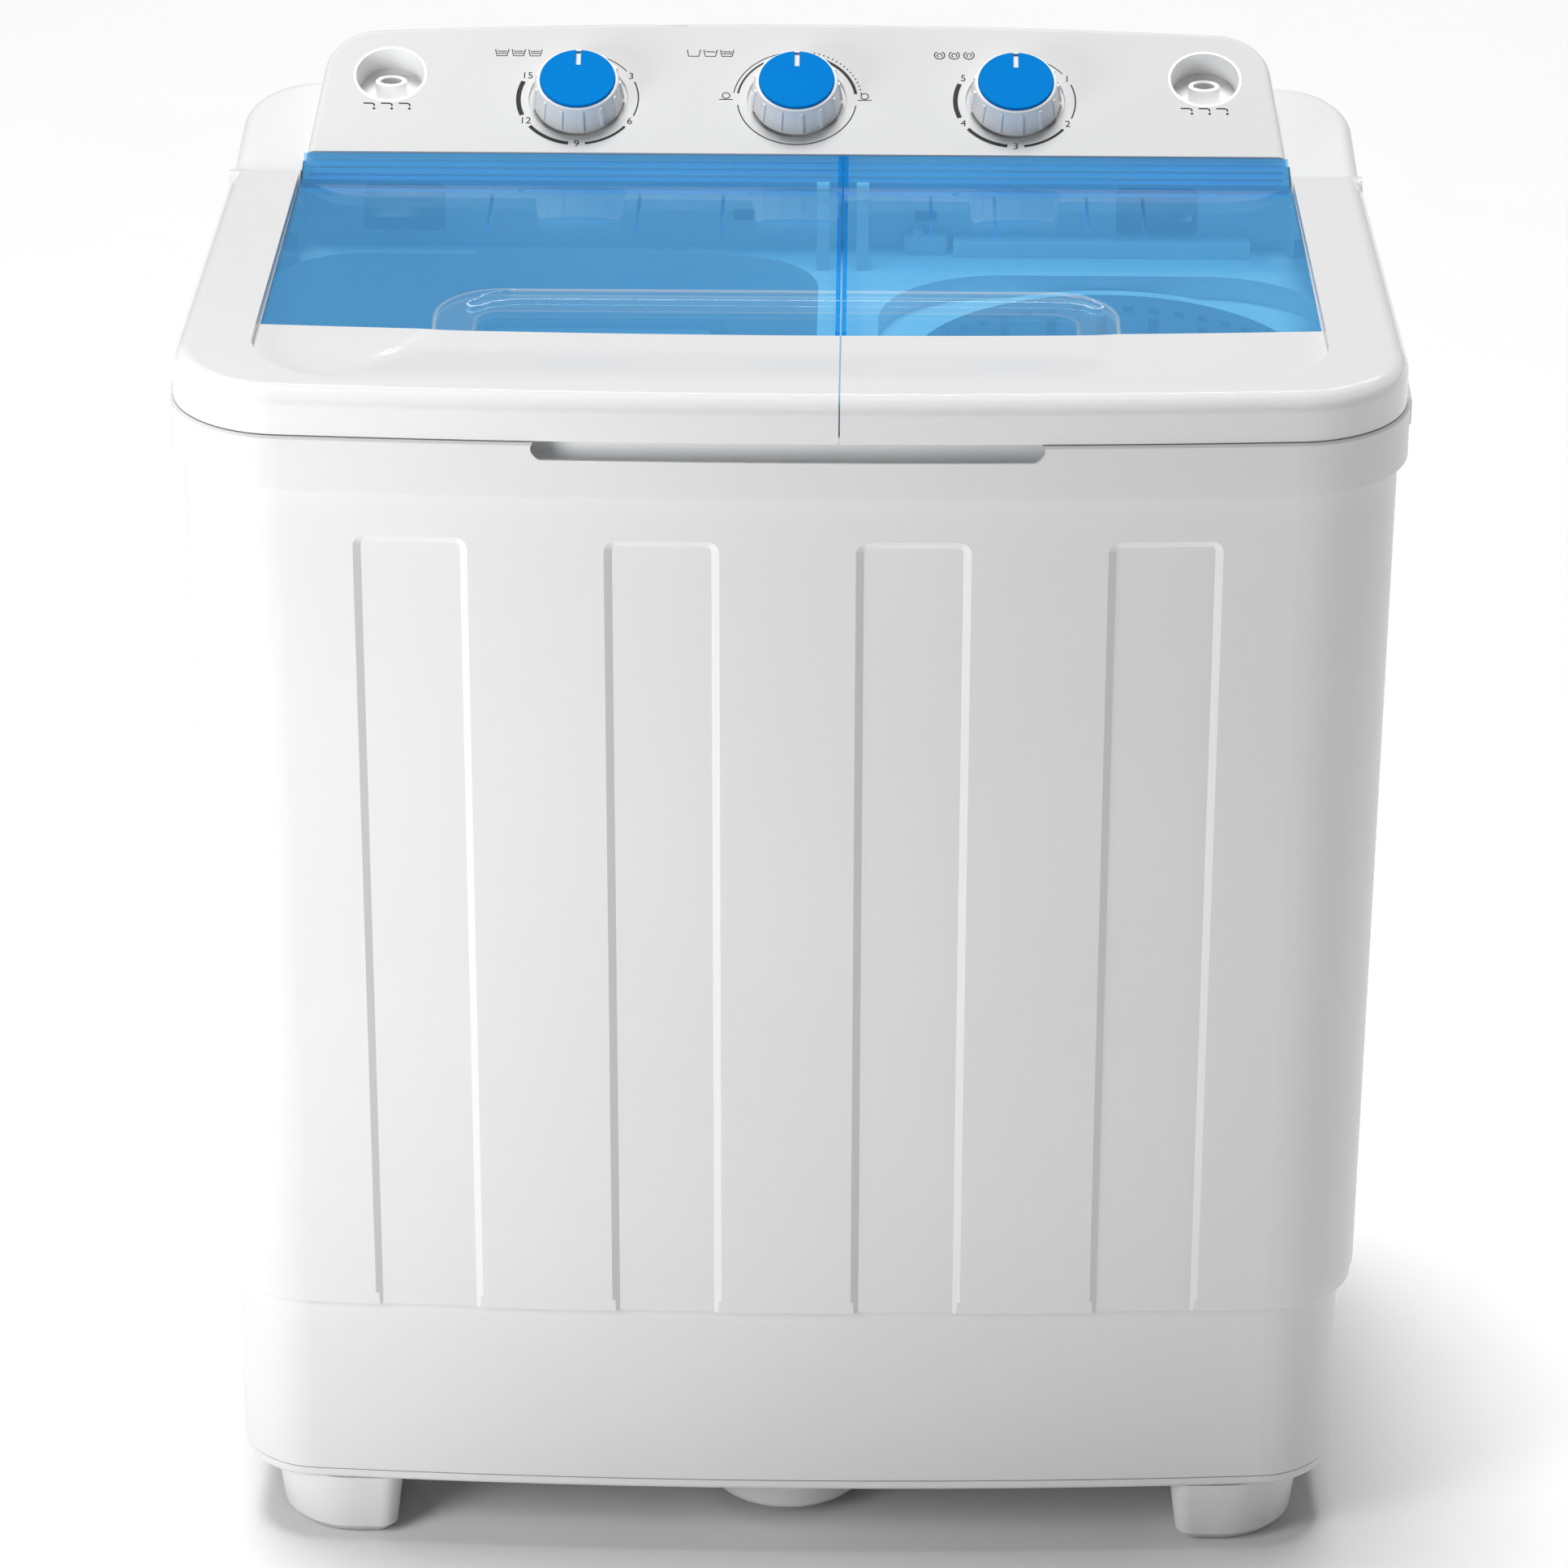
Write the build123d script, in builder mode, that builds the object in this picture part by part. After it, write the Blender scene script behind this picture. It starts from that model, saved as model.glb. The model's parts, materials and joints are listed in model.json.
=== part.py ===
from build123d import *
import os
from math import asin, atan2, cos, degrees, radians, sin

os.makedirs("parts", exist_ok=True)

# A compact twin tub washer: wash tub on the left, spin tub on the right, control panel at the rear.
# Millimetres. X to the right, Y to the rear, Z up. The origin is the middle of the footprint on the floor.

# ---------------------------------------------------------------- driving dimensions
WIDTH = 590.0            # across the fixed rim band
DEPTH = 375.0            # front of the rim to its back
HALF_W = WIDTH / 2
FRONT = -DEPTH / 2
REAR = DEPTH / 2
SIDE_TAPER = 12.0        # each side comes in by this much from front to rear
FRONT_BOW = 12.0         # the front bulges forward by this much at its middle
CORNER_FRONT = 58.0
CORNER_LOSS = 1.8        # width that the front corners' rounding takes from the tapered sides
CORNER_REAR = 38.0
WALL = 3.0               # moulded wall
GAP = 0.6                # gap between a lid and what it closes on

FOOT_TOP = 37.0          # underside of the base
TRAY_EDGE = 43.0         # seam between the base tray's edge and the plinth
PLINTH_TOP = 152.0
SHELL_LIP = 143.0
SHELL_CREASE = 150.0
SHELL_TOP = 591.0
RIM_TOP = 617.0
DECK_TOP = 603.0

PLINTH_INSET = 17.0      # how far each moulding stands inside the rim band
SHELL_SIDE_LOW, SHELL_FRONT_LOW = 9.0, 13.5
SHELL_SIDE_TOP, SHELL_FRONT_TOP = 4.5, 7.5
SHELL_FRONT_WALL = 4.6   # thick enough behind the sunk front panels
LIP_INSET = 1.2          # step in at the crease near the foot of the shell
RIM_FLANGE = 12.0

PANEL_SPACING = 119.0    # four sunk vertical panels on the front
PANEL_WIDTH = 55.0
PANEL_TOP = 565.0
PANEL_SINK = 2.5
PANEL_WALL = 4.0         # width of the sloping wall around a panel

LID_BOTTOM = RIM_TOP + GAP
LID_INSET = 1.5
LID_SEAM_X = 24.0
LID_SEAM_GAP = 0.8
LID_FRONT_TOP = 640.0    # top of the lid band at the front and at the hinge
LID_REAR_TOP = 650.0
LID_ROUND = 9.0
LID_SINK = 5.0           # the middle of a lid lies this much below its band
LID_SKIN = 3.0
BAND = 38.0              # width of the raised band down each side
STRIP_FRONT = -163.0     # front edge of the sunk middle
WINDOW_FRONT = -90.0
WINDOW_BOW = 8.0
LID_REAR = 92.0
HINGE_Y, HINGE_Z = 92.0, 642.0
BARREL_R = 7.9           # rounded rear end of a side band
RAIL_R = 3.2             # round bead along the rear edge of a window
PIN_R = 2.0
EYE_R = 3.4              # eye on a hinge post
POST_WIDTH = 6.0
POST_GAP = 0.5

SHOULDER_FRONT = 100.6   # front of the control box beside the panel
BOX_FRONT = 107.8        # lower edge of the control panel behind the windows
RECESS_BACK = 112.2      # back of the recess that the windows' rear lips swing through
RECESS_HALF = 249.5
SWING_R = 20.0           # clear radius around the hinge line inside the recess
LIP_START = (86.0, 644.8)     # Y, Z of the top of the windows' upturned rear lip
LIP_END = (106.9, 654.0)
LIP_HALF = 248.2
LIP_THICK = 2.6
SHOULDER_FRONT_Z = 645.0
SHOULDER_REAR_Z = 667.0
FACE_LOW = (96.4, 648.5)      # Y, Z of the control face's lower and upper edges
FACE_HIGH = (183.0, 696.0)
FACE_HALF_LOW = 249.0
FACE_HALF_HIGH = 238.0
FACE_CORNER = 28.0
KNOB_X = 111.0
INLET_X = 207.5
KNOB_R_BASE, KNOB_R_TOP = 22.8, 20.7
KNOB_HEIGHT = 15.3
CAP_R = 19.2
KNOB_GAP = 0.8
WELL_R = 25.4
WELL_DEPTH = 1.5
SHAFT_R = 3.0
FIT = 0.05               # radial running fit of a shaft in its bush

WASH_X = (-262.0, 12.0)  # wash tub mouth
WASH_Y = (-158.0, 100.0)
WASH_CORNER = 45.0
WASH_FLOOR = 238.0
TUB_WALL = 2.5
PULSATOR_X, PULSATOR_Y = -125.0, -38.0
PULSATOR_R = 88.0

SPIN_X, SPIN_Y = 155.0, -32.0
SPIN_TUB_R = 116.0
SPIN_FLOOR = 215.0
BASKET_R = 103.0
BASKET_TOP = 596.0
BASKET_FLOOR = 236.0
PAN_FLOOR = 591.0        # stepped floor around the spin tub's mouth

OUTLET_X, OUTLET_Z = 52.0, 95.0
OUTLET_R, OUTLET_BORE = 12.0, 10.0
NECK_R, NECK_END = 13.0, 172.5     # stouter part of the outlet, through the plinth
DRAIN_X, DRAIN_Y = -34.0, -96.0
GLAND_X, GLAND_Z = -150.0, 110.0
GLAND_R = 9.0
GLAND_START, GLAND_END = 165.5, 182.0
GLAND_LENGTH = 12.0      # length of the tight bore
CORD_R = 3.6

MOTOR_X, MOTOR_Y = -20.0, 70.0
PULLEY_Z = (64.0, 80.0)
DRIVE_PULLEY_R = 80.0
MOTOR_PULLEY_R = 18.0
BELT_GAP = 0.35
BELT_THICK = 6.0

FACE_ANGLE = degrees(atan2(FACE_HIGH[1] - FACE_LOW[1], FACE_HIGH[0] - FACE_LOW[0]))
FACE_NORMAL = (0, -sin(radians(FACE_ANGLE)), cos(radians(FACE_ANGLE)))
FACE_LENGTH = (FACE_HIGH[0] - FACE_LOW[0]) / cos(radians(FACE_ANGLE))


# ---------------------------------------------------------------- shared outlines and planes
def plan(z, side, front, rear=None):
    """Outline seen from above at height z: tapered sides, bowed front, rounded corners."""
    rear = side if rear is None else rear
    half_front = HALF_W + CORNER_LOSS - side
    half_rear = HALF_W - SIDE_TAPER - side
    y_front = FRONT + front
    with BuildSketch(Plane.XY.offset(z)) as outline:
        with BuildLine():
            ThreePointArc(
                (-half_front, y_front + FRONT_BOW), (0, y_front), (half_front, y_front + FRONT_BOW)
            )
            Polyline(
                (half_front, y_front + FRONT_BOW),
                (half_rear, REAR - rear),
                (-half_rear, REAR - rear),
                (-half_front, y_front + FRONT_BOW),
            )
        make_face()
        fillet(outline.vertices().group_by(Axis.Y)[0], CORNER_FRONT - side)
        fillet(outline.vertices().group_by(Axis.Y)[-1], CORNER_REAR - side)
    return outline.sketch


def face_plane(x, along, lift=0.0):
    """Plane on the control face, a share 'along' of the way up it, raised by 'lift'."""
    y = FACE_LOW[0] + along * (FACE_HIGH[0] - FACE_LOW[0])
    z = FACE_LOW[1] + along * (FACE_HIGH[1] - FACE_LOW[1])
    return Plane(origin=(x, y, z), x_dir=(1, 0, 0), z_dir=FACE_NORMAL).offset(lift)


def slope_plane(y_a, z_a, y_b, z_b, drop=0.0):
    """Plane that climbs to the rear through two points of the YZ view, lowered by 'drop'."""
    angle = atan2(z_b - z_a, y_b - y_a)
    return Plane(origin=(0, y_a, z_a), x_dir=(1, 0, 0), z_dir=(0, -sin(angle), cos(angle))).offset(-drop)


def lid_plane(drop=0.0):
    return slope_plane(-181.0, LID_FRONT_TOP, LID_REAR, LID_REAR_TOP, drop)


def shoulder_plane(drop=0.0):
    return slope_plane(SHOULDER_FRONT, SHOULDER_FRONT_Z, REAR, SHOULDER_REAR_Z, drop)


def save(built, name):
    built.part.label = name
    export_step(built.part, f"parts/{name}.step")


# ---------------------------------------------------------------- cabinet shell
def sunk_panel(x):
    """Cutter for one sunk front panel, square to the bowed front and open at the bottom."""
    radius = (HALF_W**2 + FRONT_BOW**2) / (2 * FRONT_BOW)
    turn = asin(x / radius)
    rise = SHELL_TOP - SHELL_CREASE
    lean = (SHELL_FRONT_LOW - SHELL_FRONT_TOP) / rise
    z_mid = (PANEL_TOP + SHELL_CREASE) / 2
    y_mid = FRONT + SHELL_FRONT_LOW - lean * (z_mid - SHELL_CREASE) + radius * (1 - cos(turn))
    wall = Plane(
        origin=(x, y_mid, z_mid),
        x_dir=(cos(turn), sin(turn), 0),
        z_dir=(sin(turn), -cos(turn), -lean),
    )
    below = z_mid - SHELL_LIP + 20
    sections = []
    for lift in (1.0, -PANEL_SINK):
        grow = lift * PANEL_WALL / PANEL_SINK
        half = PANEL_WIDTH / 2 + grow
        top = PANEL_TOP - z_mid + grow
        with BuildSketch(wall.offset(lift)) as section:
            with BuildLine():
                Polyline((-half, -below), (half, -below), (half, top), (-half, top), close=True)
            make_face()
            fillet(section.vertices().group_by(Axis.Z)[-1], 6.0 + grow)
        sections.append(section.sketch)
    with BuildPart() as cutter:
        loft(sections, ruled=True)
    return cutter.part


with BuildPart() as cabinet_shell:
    loft(
        [
            plan(SHELL_CREASE, SHELL_SIDE_LOW, SHELL_FRONT_LOW, 3.5),
            plan(SHELL_TOP, SHELL_SIDE_TOP, SHELL_FRONT_TOP, 3.5),
        ],
        ruled=True,
    )
    loft(
        [
            plan(SHELL_LIP, SHELL_SIDE_LOW + LIP_INSET, SHELL_FRONT_LOW + LIP_INSET, 4.7),
            plan(SHELL_CREASE, SHELL_SIDE_LOW + 0.8, SHELL_FRONT_LOW + 0.8, 4.3),
        ],
        ruled=True,
    )
    loft(
        [
            plan(
                SHELL_LIP,
                SHELL_SIDE_LOW + 2.5 + WALL,
                SHELL_FRONT_LOW + SHELL_FRONT_WALL,
                5.5 + WALL,
            ),
            plan(
                SHELL_TOP, SHELL_SIDE_TOP + WALL, SHELL_FRONT_TOP + SHELL_FRONT_WALL, 5.5 + WALL
            ),
        ],
        ruled=True,
        mode=Mode.SUBTRACT,
    )
    for place in (-1.5, -0.5, 0.5, 1.5):
        add(sunk_panel(place * PANEL_SPACING), mode=Mode.SUBTRACT)
    # service opening in the back
    with BuildSketch(Plane.XZ.offset(-REAR - 10)) as service:
        with Locations((0, 365)):
            RectangleRounded(420, 380, 20)
    extrude(amount=40, mode=Mode.SUBTRACT)
save(cabinet_shell, "cabinet_shell")

# ---------------------------------------------------------------- base plinth, tray, feet
with BuildPart() as base_plinth:
    extrude(plan(TRAY_EDGE, PLINTH_INSET, PLINTH_INSET + 1.5), amount=PLINTH_TOP - TRAY_EDGE)
    chamfer(base_plinth.edges().group_by(Axis.Z)[0], 0.8)
    extrude(
        plan(TRAY_EDGE, PLINTH_INSET + WALL, PLINTH_INSET + 1.5 + WALL),
        amount=PLINTH_TOP - TRAY_EDGE,
        mode=Mode.SUBTRACT,
    )
    # holes for the drain outlet and the cord gland at the back
    with BuildSketch(Plane.XZ.offset(-REAR)) as outlet_hole:
        with Locations((OUTLET_X, OUTLET_Z)):
            Circle(NECK_R + 0.2)
        with Locations((GLAND_X, GLAND_Z)):
            Circle(GLAND_R + 0.1)
    extrude(amount=40, mode=Mode.SUBTRACT)
save(base_plinth, "base_plinth")

TRAY_FLOOR = TRAY_EDGE - 0.4
RIB_TOP = TRAY_FLOOR + 7.0
MOUNT_CIRCLE = 34.0      # radius on which the spin motor's three mounts stand
MOUNT_START = 30.0
with BuildPart() as base_tray:
    extrude(plan(FOOT_TOP, PLINTH_INSET + 0.8, PLINTH_INSET + 2.3), amount=TRAY_FLOOR - FOOT_TOP)
    fillet(base_tray.edges().group_by(Axis.Z)[0], 3.0)
    # stiffening ribs on the floor of the tray, and pads for the spin motor's mounts
    with BuildSketch(Plane.XY.offset(TRAY_FLOOR)) as ribs:
        with GridLocations(0, 74, 1, 4):
            Rectangle(500, 2.5)
        with GridLocations(124, 0, 5, 1):
            Rectangle(2.5, 290)
        with Locations((SPIN_X, SPIN_Y)):
            with PolarLocations(MOUNT_CIRCLE, 3, start_angle=MOUNT_START):
                Circle(14)
    extrude(amount=RIB_TOP - TRAY_FLOOR)
    # round boss under the front of the base
    with BuildSketch(Plane.XY.offset(FOOT_TOP)) as boss_top:
        with Locations((0, -100)):
            Circle(42)
    extrude(amount=-(FOOT_TOP - 8), taper=3)
    fillet(base_tray.edges().group_by(Axis.Z)[0], 5)
    # cooling openings under the motors
    for x, y in ((MOTOR_X, MOTOR_Y), (SPIN_X, SPIN_Y)):
        with BuildSketch(Plane.XY.offset(FOOT_TOP - 1)) as vents:
            with Locations((x, y)):
                with PolarLocations(24, 6):
                    SlotOverall(16, 5)
        extrude(amount=30, mode=Mode.SUBTRACT)
save(base_tray, "base_tray")

FOOT_X, FOOT_Y = 229.0, 126.0
with BuildPart() as feet:
    for sx in (-1, 1):
        for sy in (-1, 1):
            sections = []
            for z, shrink in ((FOOT_TOP, 0.0), (6.0, 4.0), (1.0, 9.0)):
                with BuildSketch(Plane.XY.offset(z)) as foot_section:
                    with Locations((sx * FOOT_X, sy * FOOT_Y)):
                        Rectangle(68 - 2 * shrink, 68 - 2 * shrink)
                    outer = foot_section.vertices().sort_by(lambda v: -(sx * v.X + sy * v.Y))[0]
                    others = foot_section.vertices() - [outer]
                    fillet(others, 10 - shrink / 2)
                    outer = foot_section.vertices().sort_by(lambda v: -(sx * v.X + sy * v.Y))[0]
                    fillet(outer, 42 - shrink)
                sections.append(foot_section.sketch)
            loft(sections, ruled=True)
save(feet, "feet")

with BuildPart() as foot_pads:
    with BuildSketch(Plane.XY) as pad:
        with GridLocations(2 * FOOT_X, 2 * FOOT_Y, 2, 2):
            Circle(17)
    extrude(amount=1.0)
save(foot_pads, "foot_pads")

# ---------------------------------------------------------------- rim band and deck
NOTCH_HALF = 125.0
NOTCH_DEPTH = 8.4
with BuildPart() as top_rim:
    extrude(plan(SHELL_TOP, 0, 0, 0), amount=RIM_TOP - SHELL_TOP)
    chamfer(top_rim.edges().group_by(Axis.Z)[-1], 1.2)
    extrude(plan(SHELL_TOP, WALL, WALL, WALL), amount=RIM_TOP - SHELL_TOP - WALL, mode=Mode.SUBTRACT)
    extrude(
        plan(SHELL_TOP, RIM_FLANGE, RIM_FLANGE, RIM_FLANGE), amount=RIM_TOP - SHELL_TOP, mode=Mode.SUBTRACT
    )
    # finger notch with sloping ends, under the front edge of the lids
    with BuildSketch(Plane.XZ.offset(-FRONT + 5)) as notch:
        with BuildLine():
            Polyline(
                (-NOTCH_HALF, RIM_TOP + 1),
                (-NOTCH_HALF + 8, RIM_TOP - NOTCH_DEPTH),
                (NOTCH_HALF - 8, RIM_TOP - NOTCH_DEPTH),
                (NOTCH_HALF, RIM_TOP + 1),
                close=True,
            )
        make_face()
        fillet(notch.vertices().group_by(Axis.Z)[0], 4)
    extrude(amount=-30, mode=Mode.SUBTRACT)
save(top_rim, "top_rim")


BAY_X, BAY_WIDTH, BAY_REAR = -99.0, 128.0, 108.0


def wash_outline(z, shrink=0.0):
    """Rounded rectangle of the wash tub at height z."""
    x_a, x_b = WASH_X[0] + shrink, WASH_X[1] - shrink
    y_a, y_b = WASH_Y[0] + shrink, WASH_Y[1] - shrink
    with BuildSketch(Plane.XY.offset(z)) as outline:
        with Locations(((x_a + x_b) / 2, (y_a + y_b) / 2)):
            RectangleRounded(x_b - x_a, y_b - y_a, WASH_CORNER - shrink)
    return outline.sketch


def filter_bay(z, shrink=0.0):
    """Bay in the rear wall of the wash tub, where the overflow filter stands."""
    y_a, y_b = 0.0, BAY_REAR - shrink
    with BuildSketch(Plane.XY.offset(z)) as outline:
        with Locations((BAY_X, (y_a + y_b) / 2)):
            RectangleRounded(BAY_WIDTH - 2 * shrink, y_b - y_a, 9)
    return outline.sketch


PAN_X, PAN_Y = 155.0, -40.0
PAN_SIZE = (226.0, 228.0)
STEP_FRONT, STEP_WIDTH, STEP_HEIGHT = 99.0, 150.0, 7.5
with BuildPart() as tub_deck:
    extrude(plan(DECK_TOP - WALL, RIM_FLANGE, RIM_FLANGE, RIM_FLANGE), amount=RIM_TOP - DECK_TOP + WALL)
    extrude(
        plan(DECK_TOP, RIM_FLANGE + 2.5, RIM_FLANGE + 2.5, RIM_FLANGE + 2.5),
        amount=RIM_TOP - DECK_TOP,
        mode=Mode.SUBTRACT,
    )
    extrude(wash_outline(DECK_TOP - WALL), amount=WALL, mode=Mode.SUBTRACT)
    extrude(filter_bay(DECK_TOP - WALL), amount=WALL, mode=Mode.SUBTRACT)
    # stepped pan around the spin tub
    with BuildSketch(Plane.XY.offset(PAN_FLOOR - WALL)) as pan_outer:
        with Locations((PAN_X, PAN_Y)):
            RectangleRounded(PAN_SIZE[0] + 2 * WALL, PAN_SIZE[1] + 2 * WALL, 62 + WALL)
    extrude(amount=DECK_TOP - PAN_FLOOR)
    with BuildSketch(Plane.XY.offset(PAN_FLOOR)) as pan_inner:
        with Locations((PAN_X, PAN_Y)):
            RectangleRounded(*PAN_SIZE, 62)
    extrude(amount=DECK_TOP - PAN_FLOOR, mode=Mode.SUBTRACT)
    with BuildSketch(Plane.XY.offset(PAN_FLOOR - WALL)) as spin_mouth:
        with Locations((SPIN_X, SPIN_Y)):
            Circle(BASKET_R + 2)
    extrude(amount=WALL, mode=Mode.SUBTRACT)
    # raised step behind the pan
    with BuildSketch(Plane.XY.offset(DECK_TOP)) as step:
        with Locations((PAN_X, (STEP_FRONT + RECESS_BACK) / 2)):
            Rectangle(STEP_WIDTH, RECESS_BACK - STEP_FRONT)
    extrude(amount=STEP_HEIGHT)
save(tub_deck, "tub_deck")

# ---------------------------------------------------------------- wash tub
WASH_SHRINK = 8.0        # how far each wall leans in by the floor
TUB_TOP = DECK_TOP - WALL
with BuildPart() as wash_cavity:
    loft([wash_outline(WASH_FLOOR + WALL, WASH_SHRINK), wash_outline(TUB_TOP, 0)], ruled=True)
    fillet(wash_cavity.edges().group_by(Axis.Z)[0], 18)
    extrude(filter_bay(WASH_FLOOR + 33), amount=TUB_TOP - WASH_FLOOR - 33)

with BuildPart() as wash_tub:
    loft([wash_outline(WASH_FLOOR, WASH_SHRINK - TUB_WALL), wash_outline(TUB_TOP, -TUB_WALL)], ruled=True)
    fillet(wash_tub.edges().group_by(Axis.Z)[0], 20)
    extrude(filter_bay(WASH_FLOOR + 30, -TUB_WALL), amount=TUB_TOP - WASH_FLOOR - 30)
    add(wash_cavity.part, mode=Mode.SUBTRACT)
    # round hub for the bush under the pulsator
    with BuildSketch(Plane.XY.offset(WASH_FLOOR + 1)) as hub:
        with Locations((PULSATOR_X, PULSATOR_Y)):
            Circle(24)
    extrude(amount=-15)
    with BuildSketch(Plane.XY.offset(WASH_FLOOR - 14)) as hub_bore:
        with Locations((PULSATOR_X, PULSATOR_Y)):
            Circle(15)
    extrude(amount=20, mode=Mode.SUBTRACT)
    # sump hole over the drain valve
    with BuildSketch(Plane.XY.offset(WASH_FLOOR - 1)) as sump:
        with Locations((DRAIN_X, DRAIN_Y)):
            Circle(14)
    extrude(amount=10, mode=Mode.SUBTRACT)
save(wash_tub, "wash_tub")

# ---------------------------------------------------------------- spin tub
def turned(points, x, y):
    """Solid of revolution about a vertical line, from (radius, height) points."""
    with BuildPart() as ring:
        with BuildSketch(Plane(origin=(x, y, 0), x_dir=(1, 0, 0), z_dir=(0, -1, 0))) as profile:
            with BuildLine():
                Polyline(*points, close=True)
            make_face()
        revolve(profile.sketch, axis=Axis((x, y, 0), (0, 0, 1)))
    return ring.part


SPIN_TUB_TOP = PAN_FLOOR - WALL
with BuildPart() as spin_outer_tub:
    add(
        turned(
            [
                (30, SPIN_FLOOR),
                (SPIN_TUB_R - 10, SPIN_FLOOR),
                (SPIN_TUB_R, SPIN_FLOOR + 10),
                (SPIN_TUB_R, SPIN_TUB_TOP),
                (SPIN_TUB_R - TUB_WALL, SPIN_TUB_TOP),
                (SPIN_TUB_R - TUB_WALL, SPIN_FLOOR + 11),
                (SPIN_TUB_R - 11, SPIN_FLOOR + TUB_WALL),
                (30, SPIN_FLOOR + TUB_WALL),
            ],
            SPIN_X,
            SPIN_Y,
        )
    )
save(spin_outer_tub, "spin_outer_tub")

BASKET_WALL = 2.0
BASKET_TAPER = 3.0
# drain slots in three tiers, with square holes under the rim
with BuildPart() as basket_slots:
    for tier in (342.0, 444.0, 546.0):
        with Locations((SPIN_X, SPIN_Y, tier)):
            with PolarLocations(BASKET_R, 24):
                Box(20, 5.5, 76)
    with Locations((SPIN_X, SPIN_Y, BASKET_TOP - 8)):
        with PolarLocations(BASKET_R, 48):
            Box(20, 5.5, 3.5)

with BuildPart() as spin_basket:
    add(
        turned(
            [
                (9.0, BASKET_FLOOR),
                (BASKET_R - BASKET_TAPER - 8, BASKET_FLOOR),
                (BASKET_R - BASKET_TAPER, BASKET_FLOOR + 8),
                (BASKET_R - 2, BASKET_TOP - 6),
                (BASKET_R + 1, BASKET_TOP - 3),
                (BASKET_R + 1, BASKET_TOP),
                (BASKET_R - 5, BASKET_TOP),
                (BASKET_R - 2 - BASKET_WALL, BASKET_TOP - 6),
                (BASKET_R - BASKET_TAPER - BASKET_WALL, BASKET_FLOOR + 9),
                (BASKET_R - BASKET_TAPER - 9, BASKET_FLOOR + BASKET_WALL),
                (24, BASKET_FLOOR + BASKET_WALL),
                (18, BASKET_FLOOR + 22),
                (9.0, BASKET_FLOOR + 22),
            ],
            SPIN_X,
            SPIN_Y,
        )
    )
    add(basket_slots.part, mode=Mode.SUBTRACT)
    with BuildSketch(Plane.XY.offset(BASKET_FLOOR - 1)) as floor_holes:
        with Locations((SPIN_X, SPIN_Y)):
            with PolarLocations(50, 12):
                Circle(3)
            with PolarLocations(75, 18):
                Circle(3)
    extrude(amount=6, mode=Mode.SUBTRACT)
save(spin_basket, "spin_basket")

# ---------------------------------------------------------------- lids
def sunk_middle(z, shrink=0.0):
    """Outline of the lids' sunk middle, open to the rear."""
    half_front = HALF_W - BAND - shrink
    half_rear = half_front - 8
    with BuildSketch(Plane.XY.offset(z)) as outline:
        with BuildLine():
            Polyline(
                (-half_front, STRIP_FRONT + shrink),
                (half_front, STRIP_FRONT + shrink),
                (half_rear, LID_REAR + 20),
                (-half_rear, LID_REAR + 20),
                close=True,
            )
        make_face()
        fillet(outline.vertices().group_by(Axis.Y)[0], 47 - shrink)
    return outline.sketch


def window_outline(z, rear, shrink=0.0):
    """Outline of the two windows together, with a bowed front edge."""
    half_front = HALF_W - BAND - 3 - shrink
    half_rear = half_front - 5
    front = WINDOW_FRONT + shrink
    with BuildSketch(Plane.XY.offset(z)) as outline:
        with BuildLine():
            ThreePointArc((-half_front, front), (0, front - WINDOW_BOW), (half_front, front))
            Polyline((half_front, front), (half_rear, rear), (-half_rear, rear), (-half_front, front))
        make_face()
    return outline.sketch


def seam_keep(side):
    """Block that holds everything on one side (-1 wash, +1 spin) of the seam between the lids."""
    edge = LID_SEAM_X + side * LID_SEAM_GAP / 2
    with BuildPart() as block:
        with Locations((edge + side * 400, 0, 600)):
            Box(800, 800, 400)
    return block.part


def hinge_bar(x_a, x_b, radius):
    """Round bar on the hinge line from x_a to x_b."""
    with BuildPart() as bar:
        with BuildSketch(Plane.YZ.offset(x_a)) as end:
            with Locations((HINGE_Y, HINGE_Z)):
                Circle(radius)
        extrude(amount=x_b - x_a)
    return bar.part


# places along X of the hinge posts, inner then outer, for each side
POST_X = {-1: (LID_SEAM_X - 10, -268.0), 1: (LID_SEAM_X + 10, 268.0)}
PIN_HALF = POST_WIDTH / 2 + POST_GAP + 4.5
EYE_CLEAR_R = EYE_R + POST_GAP
SLOT_FRONT, SLOT_REAR = HINGE_Y - 16, HINGE_Y + 20
SLOT_RISE = 2.6          # the posts reach this far above the hinge line when a lid stands open

# room for the hinge posts: below the hinge line, behind it, and a round eye around the line
with BuildPart() as post_space:
    for side in (-1, 1):
        for x in POST_X[side]:
            x_a, x_b = x - POST_WIDTH / 2 - POST_GAP, x + POST_WIDTH / 2 + POST_GAP
            add(hinge_bar(x_a, x_b, EYE_CLEAR_R))
            with BuildSketch(Plane.YZ.offset(x_a)) as slot:
                with BuildLine():
                    Polyline(
                        (SLOT_FRONT, LID_BOTTOM - 5),
                        (SLOT_REAR, LID_BOTTOM - 5),
                        (SLOT_REAR, HINGE_Z + SLOT_RISE),
                        (HINGE_Y, HINGE_Z + SLOT_RISE),
                        (HINGE_Y, HINGE_Z),
                        (SLOT_FRONT, HINGE_Z),
                        close=True,
                    )
                make_face()
            extrude(amount=x_b - x_a)

with BuildPart() as lid_sink_cut:
    extrude(sunk_middle(LID_BOTTOM), amount=60)
    split(bisect_by=lid_plane(LID_SINK), keep=Keep.TOP)

with BuildPart() as lid_hollow:
    extrude(plan(LID_BOTTOM - 1, LID_INSET + WALL, LID_INSET + WALL), amount=60)
    split(bisect_by=lid_plane(LID_SINK + LID_SKIN), keep=Keep.BOTTOM)
    split(bisect_by=Plane(origin=(0, LID_REAR - WALL, 0), z_dir=(0, 1, 0)), keep=Keep.BOTTOM)

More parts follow.
